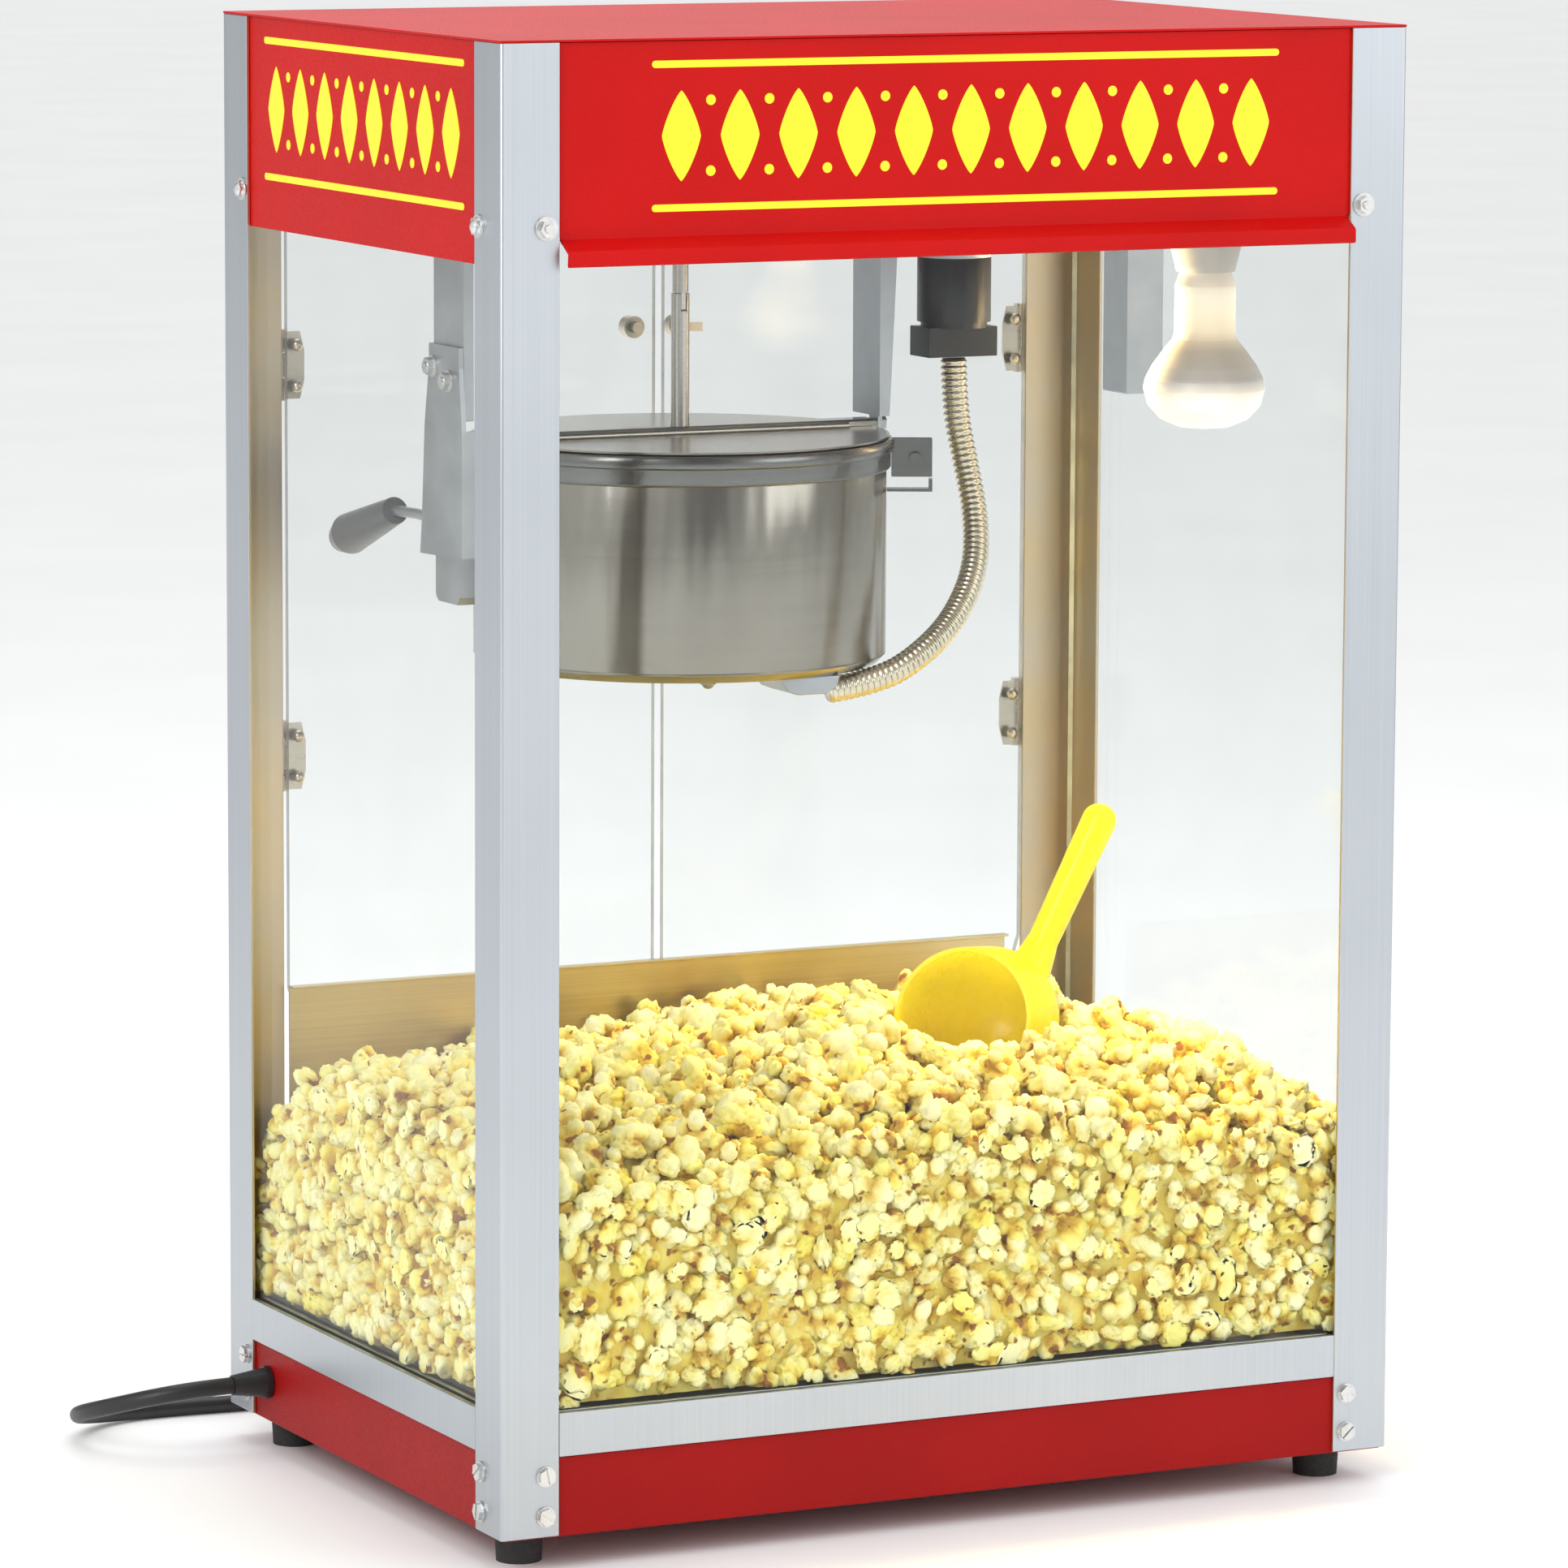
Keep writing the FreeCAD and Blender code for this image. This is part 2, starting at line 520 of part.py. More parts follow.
ears = [out(109.5, -4.6, 526.8, 21.0, 1.6, 19.6), out(109.5, 3.0, 526.8, 21.0, 1.6, 19.6), out(107.2, -4.0, 519.0, 23.5, 8.0, 1.6), out(128.8, -4.0, 519.0, 1.9, 8.0, 6.5)]
bo = V(XK.v, 0, 0) + th.multVec(V(121.6, -9.0, 536.6))
bolt = doc.addObject("Part::Cylinder", fresh("Bolt"))
bolt.Radius, bolt.Height = 3.1, 17.0
bolt.Placement = FreeCAD.Placement(bo, th * FreeCAD.Rotation(V(1, 0, 0), -90))
label(fuse(band, *ears, bolt), "kettle_band")
bw, bhh = D["bar_width"] / 2, D["bar_height"] / 2
bar = new_body()
pad(bar, "YZ", [(-bw, PZ - bhh + 0.15), (bw, PZ - bhh + 0.15), (bw, PZ + bhh - 1), (bw - 2, PZ + bhh), (2 - bw, PZ + bhh), (-bw, PZ + bhh - 1)], 220.4, offset=XK - 110.2)
bar2 = cut(bar, cyl(XK, 0.0, PZ - 5, D["shaft_dia"] / 2 + 0.4, 10.0), cyl(XK - 111, 0.0, PZ, 1.65, 8.0, "x"), cyl(30.4, 0.0, PZ, 1.65, 8.0, "x"))
label(bar2, "kettle_crossbar")
lidf = spin_body([(0.0, KR + 0.25), (RK + 1.5, KR + 0.25), (RK + 1.5, KR + 1.25), (0.0, KR + 1.25)], XK, 0.0, 0.0)
lidr = spin_body([(0.0, KR + 0.25), (RK + 1.5, KR + 0.25), (RK + 1.5, KR + 1.25), (0.0, KR + 1.25)], XK, 0.0, 0.0)
curl = cyl(XK - 92.0, -bw - 2.3, KR + 2.2, 1.95, 184.0, "x")
label(fuse(common(lidf, box(XK - 120, XK + 120, -120.0, -bw - 2.2, KR - 5, KR + 5)), curl), "lid_front")
label(common(lidr, box(XK - 120, XK + 120, bw + 0.3, 120.0, KR - 5, KR + 5)), "lid_rear")

# lever block on the kettle's left side, rod and grip
lb = new_body()
pad(lb, "YZ", [(3.0, 468.0), (6.0, 464.0), (30.0, 464.0), (33.5, 467.0), (33.5, 531.0), (3.0, 531.0)], 10.0, offset=ax + at + 3.4)
inner = box(ax + at + 13.0, XK - RK + 6.0, 6.0, 30.5, 466.0, 529.0)
shellcut = cyl(XK, 0.0, 440.0, RK + 0.05, 90.5)
lever_block = fuse(lb, cut(inner, shellcut))


def rod(points, r, name=None):
    o = doc.addObject("Part::Feature", fresh("Rod"))
    es = []
    for a, b in zip(points, points[1:]):
        es.append(Part.makeCylinder(r, (b - a).Length, a, b - a))
    for p in points[1:-1]:
        es.append(Part.makeSphere(r, p))
    s = es[0]
    for e in es[1:]:
        s = s.fuse(e)
    o.Shape = s
    return o


G0, G1 = V(-197.0, 84.0, 505.4), V(-199.6, 148.0, 485.0)
label(fuse(lever_block, rod([V(-193.0, 33.0, 505.2), V(-194.8, 60.0, 505.9), G0, G0 + (G1 - G0) * 0.2], 2.8)), "tilt_lever")
g = doc.addObject("Part::Feature", fresh("Grip"))
gd = (G1 - G0)
gd.normalize()
gl = (G1 - G0).Length
gs = Part.makeCone(7.2, 8.6, gl * 0.3, G0, gd).fuse(Part.makeCone(8.6, 11.0, gl * 0.55, G0 + gd * gl * 0.3, gd)).fuse(Part.makeCone(11.0, 8.0, gl * 0.15, G0 + gd * gl * 0.85, gd))
g.Shape = gs.cut(Part.makeCylinder(2.85, gl * 0.22, G0 - gd * 0.5, gd))
label(g, "lever_grip")
doc.recompute()

# power connection under the kettle
jb = new_body()
pad(jb, "XZ", [(-61.0, KB - 0.1), (-55.0, KB - 7.5), (-50.0, KB - 9.5), (-34.0, KB - 9.5), (-28.0, KB - 6.0), (-26.0, KB - 0.1)], 34.0, offset=60.0)
label(jb, "kettle_junction")

# ---------------------------------------------------------------- drive
ST = 621.0
sd = D["shaft_dia"] / 2
label(fuse(cyl(XK, 0.0, ST + 0.5, sd - 0.6, ch + 14 - ST - 0.5), box(XK - 1.3, XK + 1.3, -3.9, 3.9, ST - 8, ST + 1.0)), "drive_shaft")
low_shaft = cut(cyl(XK, 0.0, KB + 24, sd, ST - KB - 24), box(XK - 1.75, XK + 1.75, -6.0, 6.0, ST - 9, ST + 2))
blade = fuse(box(XK - 88, XK + 88, -4.0, 4.0, KB + 21.0, KB + 23.0), box(XK - 5, XK + 5, -60.0, 60.0, KB + 21.0, KB + 23.0), cyl(XK, 0.0, KB + 20.4, 12.0, 7.0),
             box(XK - 88, XK - 84, -4.0, 4.0, KB + 22.0, KB + 40.0), box(XK + 84, XK + 88, -4.0, 4.0, KB + 22.0, KB + 40.0))
label(fuse(low_shaft, blade), "agitator")
gm = fuse(box(XK - 45, XK + 45, -35.0, 35.0, ch + 16.4, ch + 46), cyl(XK, 12.0, ch + 46, 30.0, 34.0), cyl(XK, 0.0, ch + 12, 10.0, 5.0),
          *[cyl(XK + a, b, ch + 1.3, 4.0, 15.2) for a in (-38.0, 38.0) for b in (-28.0, 28.0)])
label(cut(gm, cyl(XK, 0.0, ch - 5, sd - 0.6 + 0.3, 20.0)), "gearmotor")

# ---------------------------------------------------------------- lamp
lx, ly = D["lamp_x"], D["lamp_y"]
label(cone(lx, ly, 629.5, 15.4, 24.0, ch - 629.7), "lamp_holder")
lr = D["lamp_dia"] / 2
bulb = spin_body([(0.0, 546.6), (lr * 0.42, 548.0), (lr * 0.72, 552.0), (lr * 0.92, 559.0), (lr, 568.0), (lr * 0.97, 573.0), (lr * 0.86, 580.0), (lr * 0.67, 588.5), (lr * 0.53, 594.0), (lr * 0.5, 598.0),
                  (lr * 0.5, 622.0), (lr * 0.42, 629.3), (0.0, 629.3)], lx, ly, 0.0)
label(bulb, "lamp_bulb")

# ---------------------------------------------------------------- switch box with three rockers at the back
sw, sdp = D["switch_width"], D["switch_depth"]
SX, SY, SZ = 222.5, 60.0, 553.0
sb = new_body()
pad(sb, "XY", rect(SX, SX + sw, SY, SY + sdp), ch - SZ, offset=SZ)
pocket(sb, "XY", rect(SX + 1, SX + sw - 1, SY + 1, SY + sdp - 1), ch - SZ - 1, offset=SZ + 1, reverse=True)
holes = [box(SX + 3.8, SX + sw - 3.8, SY + sdp - 3, SY + sdp + 3, z - 10.2, z + 10.2) for z in (578.0, 606.0, 634.0)]
label(cut(sb, *holes), "switch_box")
ROCK = []
for nm, z in (("rocker_light", 578.0), ("rocker_motor", 606.0), ("rocker_heat", 634.0)):
    r = new_body()
    yy = SY + sdp.v
    pad(r, "YZ", [(yy - 5.5, z - 6.5), (yy - 5.5, z + 6.5), (yy + 3.0, z + 9.4), (yy + 0.8, z), (yy + 0.8, z - 9.4), (yy - 1.5, z - 9.4)], sw - 8.4, offset=SX + 4.2)
    label(fuse(r, cyl(SX + 1.2, yy - 3.5, z, 1.4, sw - 2.4, "x")), nm)

# ---------------------------------------------------------------- kettle outlet, plug and conduit
qx, qy = D["plug_x"], D["plug_y"]
outlet = cut(cyl(qx, qy, 636.3, 19.0, ch - 636.4), cyl(qx, qy, 636.0, 15.0, 20.0))
label(outlet, "kettle_outlet")
pl = fuse(cyl(qx, qy, 602.6, 19.4, 33.4), cyl(qx, qy, 599.5, 17.4, 3.2), box(qx - 20, qx + 20, qy - 11, qy + 11, 584.5, 600.0), cyl(qx, qy, 636.0, 14.0, 14.0))
label(cut(pl, cyl(qx, qy, 583.0, D["conduit_dia"] / 2 + 0.05, 9.0)), "kettle_plug")


def tube(name, pts, r, hollow=0.0):
    """Straight runs joined by tangent arcs, swept with a round section."""
    P = [V(*p) for p in pts]
    edges, last, length = [], P[0], 0.0
    radii = []
    for i in range(1, len(P) - 1):
        a, b, c = P[i - 1], P[i], P[i + 1]
        u, w = (a - b), (c - b)
        lu, lw = u.Length, w.Length
        u.normalize()
        w.normalize()
        turn = math.pi - u.getAngle(w)
        back = 0.45 * min(lu, lw)
        rad = back / math.tan(turn / 2)
        radii.append(rad)
        s, e = b + u * back, b + w * back
        bis = u + w
        bis.normalize()
        mid = b + bis * (rad / math.cos(turn / 2) - rad)
        edges.append(Part.LineSegment(last, s).toShape())
        edges.append(Part.Arc(s, mid, e).toShape())
        length += (s - last).Length + rad * turn
        last = e
    edges.append(Part.LineSegment(last, P[-1]).toShape())
    length += (P[-1] - last).Length
    path = Part.Wire(edges)
    d0 = P[1] - P[0]
    ring = Part.Wire([Part.makeCircle(r, P[0], d0)])
    solid = path.makePipeShell([ring], True, True)
    want = math.pi * r * r * length
    o = doc.addObject("Part::Feature", fresh("Tube"))
    o.Shape = solid
    print("%s: length %.0f, radii %s, volume %.0f of %.0f" % (name, length, ["%.0f" % x for x in radii], solid.Volume, want))
    assert abs(solid.Volume - want) < 0.02 * want, name
    label(o, name)
    return solid, length


CONDUIT = [(81.0, -10.0, 583.2), (81.5, -10.5, 556.0), (85.5, -16.0, 528.0), (87.0, -26.0, 499.0), (78.0, -42.0, 473.0), (55.0, -62.0, 451.0), (28.0, -77.0, 436.0), (3.0, -80.0, 424.5), (-25.8, -79.0, 421.2)]
tube("kettle_conduit", CONDUIT, D["conduit_dia"].v / 2)

# ---------------------------------------------------------------- power cord, coil and plug
relief = fuse(cyl(-W2 - 1.2, 128.3, 38.5, 8.6, 2.8, "x"), cone(-W2 - 19, 128.3, 38.5, 5.4, 7.8, 18.0, "x"), cyl(-W2 - 1, 128.3, 38.5, 6.4, 12.0, "x"))
label(cut(relief, cyl(-W2 - 20, 128.3, 38.5, D["cord_dia"].v / 2 + 0.08, 30.0, "x")), "strain_relief")
CORD = [(-258.0, 128.3, 38.5), (-285.0, 128.3, 38.5), (-312.6, 135.4, 34.9), (-331.4, 154.3, 27.4), (-338.4, 180.8, 19.2), (-331.2, 207.0, 11.6), (-312.0, 226.0, 6.3), (-285.6, 233.2, 4.6),
        (-256.8, 232.6, 4.6), (-228.6, 229.4, 4.6), (-200.0, 230.6, 4.6), (-172.0, 229.5, 4.6)]
cord_shape, cord_len = tube("power_cord", CORD, D["cord_dia"].v / 2)
CX, CY, CM = -138.0, 279.0, 49.5
turns_r = 9.4
coil = cut(cyl(CX, CY, 0.05, CM + turns_r, 28.0), cyl(CX, CY, -1.0, CM - turns_r, 32.0))
label(coil, "power_cord_coil")
PX, PY = CX + 53.6, CY + 24.0
pb = new_body()
pad(pb, "XY", [(PX - 7, PY + 26), (PX + 7, PY + 26), (PX + 12, PY + 33), (PX + 13, PY + 48), (PX + 13, PY + 63), (PX - 13, PY + 63), (PX - 13, PY + 48), (PX - 12, PY + 33)], 22.0, offset=0.1)
neck = cone(PX, PY, 9.0, 5.2, 7.2, 28.0, "y")
label(fuse(pb, neck, box(PX - 7.7, PX - 6.1, PY + 62, PY + 81, 8.0, 14.5), box(PX + 6.1, PX + 7.7, PY + 62, PY + 81, 8.0, 14.5), cyl(PX, PY + 62, 5.6, 2.4, 19.0, "y")), "power_plug")
print("cord in the tube %.0f mm" % cord_len)

# ---------------------------------------------------------------- popcorn heap (bulk solid) and scoop
SC = V(135.3, 0.0, 254.2)
HA = V(0.4674, 0.0, 0.8841)
HA.normalize()


def height(x, y):
    h = 214.0 + 14.0 * math.exp(-((x - 60.0) / 120.0) ** 2) - 0.00042 * (y - 5) ** 2 - 16.0 * max(0.0, (abs(y - 5) - 90) / 80.0) ** 2
    h -= 42.0 * max(0.0, (y - 60) / 110.0) * max(0.0, (-x - 120) / 130.0)
    h -= 12.0 * max(0.0, (x - 170) / 76.0)
    return h + 3.0 * math.sin(x / 31.0) * math.cos(y / 27.0)


xs = [-246.0 + 492.0 * i / 12 for i in range(13)]
ys_ = [-171.0 + 340.0 * i / 8 for i in range(9)]
zb = num(dk) + 2.0
faces = []
for i in range(12):
    for j in range(8):
        a = V(xs[i], ys_[j], height(xs[i], ys_[j]))
        b = V(xs[i + 1], ys_[j], height(xs[i + 1], ys_[j]))
        c = V(xs[i + 1], ys_[j + 1], height(xs[i + 1], ys_[j + 1]))
        d = V(xs[i], ys_[j + 1], height(xs[i], ys_[j + 1]))
        for tri in ((a, b, c), (a, c, d)):
            faces.append(Part.Face(Part.makePolygon([tri[0], tri[1], tri[2], tri[0]])))
for y in (ys_[0], ys_[-1]):
    ring_pts = [V(xs[0], y, zb)] + [V(x, y, height(x, y)) for x in xs] + [V(xs[-1], y, zb)]
    faces.append(Part.Face(Part.makePolygon(ring_pts + [ring_pts[0]])))
for x in (xs[0], xs[-1]):
    ring_pts = [V(x, ys_[0], zb)] + [V(x, y, height(x, y)) for y in ys_] + [V(x, ys_[-1], zb)]
    faces.append(Part.Face(Part.makePolygon(ring_pts + [ring_pts[0]])))
faces.append(Part.Face(Part.makePolygon([V(xs[0], ys_[0], zb), V(xs[-1], ys_[0], zb), V(xs[-1], ys_[-1], zb), V(xs[0], ys_[-1], zb), V(xs[0], ys_[0], zb)])))
shell_ = Part.makeShell(faces)
heap = Part.Solid(shell_)
if heap.Volume < 0:
    heap.reverse()

# scoop: a round-nosed bowl open to the front left, on a straight handle
bd = V(-0.751, -0.646, 0.127)
bd.normalize()


def frame(o, zdir, xhint):
    z = V(zdir)
    z.normalize()
    y = z.cross(xhint)
    y.normalize()
    x = y.cross(z)
    m = FreeCAD.Matrix(x.x, y.x, z.x, o.x, x.y, y.y, z.y, o.y, x.z, y.z, z.z, o.z, 0, 0, 0, 1)
    return FreeCAD.Placement(m)


BR, BL, BT = 38.0, 44.0, 2.2
bowl_o = V(113.0, 5.8, 227.9)
outer = Part.makeCylinder(BR, BL, V(0, 0, 0), V(0, 0, 1)).fuse(Part.makeSphere(BR, V(0, 0, 0)).common(Part.makeBox(200, 200, 100, V(-100, -100, -100 + 0))))
innr = Part.makeCylinder(BR - BT, BL + 5, V(0, 0, 0), V(0, 0, 1)).fuse(Part.makeSphere(BR - BT, V(0, 0, 0)).common(Part.makeBox(200, 200, 100, V(-100, -100, -100))))
bowl = outer.cut(innr)
slant = Part.makeBox(200, 200, 200, V(-100, -100, 0))
slant.Placement = FreeCAD.Placement(V(0, 0, 38), FreeCAD.Rotation(V(0, 1, 0), -9))
bowl = bowl.cut(slant)
bowl.Placement = frame(bowl_o, bd, V(-HA.x, -HA.y, -HA.z))
outer.Placement = bowl.Placement
hb0 = SC - HA * 8.0
h0 = Part.makeCone(7.8, 9.3, 94.7, hb0, HA).fuse(Part.makeSphere(9.3, hb0 + HA * 94.7)).fuse(Part.makeCone(13.0, 7.9, 26.0, hb0, HA))
handle = h0.cut(outer)
solids = sorted(handle.Solids, key=lambda q: -q.Volume)
scoop = bowl.fuse(solids[0])
so = doc.addObject("Part::Feature", fresh("Scoop"))
so.Shape = scoop.removeSplitter()
label(so, "scoop")
clear = outer.copy()
bb = scoop.BoundBox
room = Part.makeCylinder(BR + 2.0, 290.0, V(0, 0, 0), V(0, 0, 1))
sweep = []
big = Part.makeCylinder(BR + 1.2, BL + 3.5, V(0, 0, -1.2), V(0, 0, 1)).fuse(Part.makeSphere(BR + 1.2, V(0, 0, 0)))
big.Placement = bowl.Placement
void = big
for k in range(1, 9):
    c = big.copy()
    c.translate(HA * (9.0 * k))
    void = void.fuse(c)
heap = heap.cut(void).cut(Part.makeCylinder(14.0, 200.0, hb0 - HA * 6.0, HA))
doc.recompute()
for r in ("rail_front", "rail_left", "rail_right", "rail_rear"):
    rb = names[r].Shape.BoundBox
    heap = heap.cut(Part.makeBox(rb.XLength + 1.6, rb.YLength + 1.6, rb.ZMax + 0.8 - 50.0, V(rb.XMin - 0.8, rb.YMin - 0.8, 50.0)))
heap = sorted(heap.Solids, key=lambda q: -q.Volume)[0]
ho = doc.addObject("Part::Feature", fresh("Heap"))
ho.Shape = heap
label(ho, "popcorn_heap")

# ---------------------------------------------------------------- check and write
doc.recompute()
bad = []
for o in doc.Objects:
    if "Invalid" in o.State or "Error" in o.State:
        bad.append("%s (%s): %s" % (o.Name, o.Label, o.State))
for n, o in names.items():
    s = o.Shape
    if s.isNull() or not s.isValid() or s.Volume <= 0 or not s.Solids:
        bad.append("%s: shape is null or invalid" % n)
if bad:
    raise RuntimeError("; ".join(bad))
assert len(names) <= 60, len(names)
os.makedirs("parts", exist_ok=True)
for f in os.listdir("parts"):
    if f.endswith(".step") and f[:-5] not in names:
        os.remove(os.path.join("parts", f))
for n, o in names.items():
    o.Shape.exportStep("parts/%s.step" % n)
print("%d nodes written" % len(names))
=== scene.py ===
import json
import math

import bmesh
import bpy
import numpy as np
from mathutils import Matrix, Vector

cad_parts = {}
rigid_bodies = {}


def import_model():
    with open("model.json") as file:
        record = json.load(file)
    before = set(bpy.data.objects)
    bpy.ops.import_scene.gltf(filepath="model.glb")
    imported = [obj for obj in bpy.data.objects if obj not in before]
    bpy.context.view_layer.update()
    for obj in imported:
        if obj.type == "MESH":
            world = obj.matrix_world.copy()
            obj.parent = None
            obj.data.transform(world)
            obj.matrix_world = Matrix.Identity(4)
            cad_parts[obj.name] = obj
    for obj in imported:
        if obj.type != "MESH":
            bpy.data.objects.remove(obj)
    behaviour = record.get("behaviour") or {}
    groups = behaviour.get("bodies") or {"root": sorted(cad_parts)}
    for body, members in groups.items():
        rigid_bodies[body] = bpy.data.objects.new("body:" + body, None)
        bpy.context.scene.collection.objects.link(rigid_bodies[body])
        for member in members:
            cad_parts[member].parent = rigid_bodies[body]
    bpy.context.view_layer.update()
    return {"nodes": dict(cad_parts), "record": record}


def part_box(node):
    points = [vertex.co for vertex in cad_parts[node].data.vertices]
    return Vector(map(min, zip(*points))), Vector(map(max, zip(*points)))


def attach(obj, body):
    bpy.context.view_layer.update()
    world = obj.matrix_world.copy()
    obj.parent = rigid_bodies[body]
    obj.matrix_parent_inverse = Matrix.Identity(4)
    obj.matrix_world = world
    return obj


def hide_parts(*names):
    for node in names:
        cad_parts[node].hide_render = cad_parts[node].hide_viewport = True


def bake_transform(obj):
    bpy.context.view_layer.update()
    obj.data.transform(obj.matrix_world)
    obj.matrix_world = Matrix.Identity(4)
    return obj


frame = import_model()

scene = bpy.context.scene
coll = scene.collection
nodes = frame["nodes"]
scene.view_settings.view_transform = "Standard"

# ---------------------------------------------------------------- camera
cam_data = bpy.data.cameras.new("camera")
cam_data.lens = 182.35
cam_data.sensor_width = 36.0
cam_data.clip_end = 200.0
cam = bpy.data.objects.new("camera", cam_data)
coll.objects.link(cam)
R_, U_, F_ = Vector((0.89793466, -0.44010541, 0.00453535)), Vector((0.05741886, 0.12735417, 0.99019392)), Vector((0.43636729, 0.88886903, -0.13962607))
m = Matrix(((R_.x, U_.x, -F_.x, -1.8283), (R_.y, U_.y, -F_.y, -3.6999), (R_.z, U_.z, -F_.z, 0.9428), (0, 0, 0, 1)))
cam.matrix_world = m
scene.camera = cam


# ---------------------------------------------------------------- node helpers
def new_mat(name):
    mt = bpy.data.materials.new(name)
    mt.use_nodes = True
    nt = mt.node_tree
    p = nt.nodes["Principled BSDF"]
    return mt, nt, p


def coords(nt, scale=(1, 1, 1)):
    tc = nt.nodes.new("ShaderNodeTexCoord")
    mp = nt.nodes.new("ShaderNodeMapping")
    mp.inputs["Scale"].default_value = scale
    nt.links.new(tc.outputs["Object"], mp.inputs["Vector"])
    return mp.outputs["Vector"]


def noise(nt, vec, scale, detail=3.0, rough=0.5):
    n = nt.nodes.new("ShaderNodeTexNoise")
    n.inputs["Scale"].default_value = scale
    n.inputs["Detail"].default_value = detail
    n.inputs["Roughness"].default_value = rough
    nt.links.new(vec, n.inputs["Vector"])
    return n.outputs["Fac"]


def ramp(nt, fac, stops):
    r = nt.nodes.new("ShaderNodeValToRGB")
    e = r.color_ramp.elements
    while len(e) < len(stops):
        e.new(0.5)
    for i, (pos, c) in enumerate(stops):
        e[i].position = pos
        e[i].color = (c[0], c[1], c[2], 1.0) if hasattr(c, "__len__") else (c, c, c, 1.0)
    nt.links.new(fac, r.inputs["Fac"])
    return r.outputs["Color"]


def bump(nt, p, height, strength, dist):
    b = nt.nodes.new("ShaderNodeBump")
    b.inputs["Strength"].default_value = strength
    b.inputs["Distance"].default_value = dist
    nt.links.new(height, b.inputs["Height"])
    nt.links.new(b.outputs["Normal"], p.inputs["Normal"])
    return b


def metal(name, lo, hi, r0, r1, stretch, scale=1.0, bmp=0.08, big=6.0):
    """Rolled, brushed or plated metal: fine grain along one direction, with slow tone changes."""
    mt, nt, p = new_mat(name)
    p.inputs["Metallic"].default_value = 1.0
    grain = noise(nt, coords(nt, stretch), scale, 4.0, 0.6)
    slow = noise(nt, coords(nt), big, 2.0, 0.5)
    mx = nt.nodes.new("ShaderNodeMath")
    mx.operation = "MULTIPLY_ADD"
    mx.inputs[1].default_value = 0.5
    nt.links.new(grain, mx.inputs[0])
    hf = nt.nodes.new("ShaderNodeMath")
    hf.operation = "MULTIPLY"
    hf.inputs[1].default_value = 0.5
    nt.links.new(slow, hf.inputs[0])
    nt.links.new(hf.outputs[0], mx.inputs[2])
    nt.links.new(ramp(nt, mx.outputs[0], [(0.3, lo), (0.7, hi)]), p.inputs["Base Color"])
    nt.links.new(ramp(nt, mx.outputs[0], [(0.3, r0), (0.7, r1)]), p.inputs["Roughness"])
    bump(nt, p, grain, bmp, 0.0002)
    return mt


def paint(name, lo, hi, rough, pits=900.0, strength=0.25, spec=0.5, coat=0.0):
    """Powder coat or moulded plastic: mottled colour over a fine pebbled surface."""
    mt, nt, p = new_mat(name)
    v = coords(nt)
    slow = noise(nt, v, 9.0, 3.0, 0.55)
    nt.links.new(ramp(nt, slow, [(0.3, lo), (0.7, hi)]), p.inputs["Base Color"])
    fine = noise(nt, v, pits, 2.0, 0.5)
    nt.links.new(ramp(nt, fine, [(0.3, rough * 0.85), (0.7, min(1.0, rough * 1.15))]), p.inputs["Roughness"])
    p.inputs["Specular IOR Level"].default_value = spec
    if coat:
        p.inputs["Coat Weight"].default_value = coat
        p.inputs["Coat Roughness"].default_value = 0.12
    bump(nt, p, fine, strength, 0.0004)
    return mt


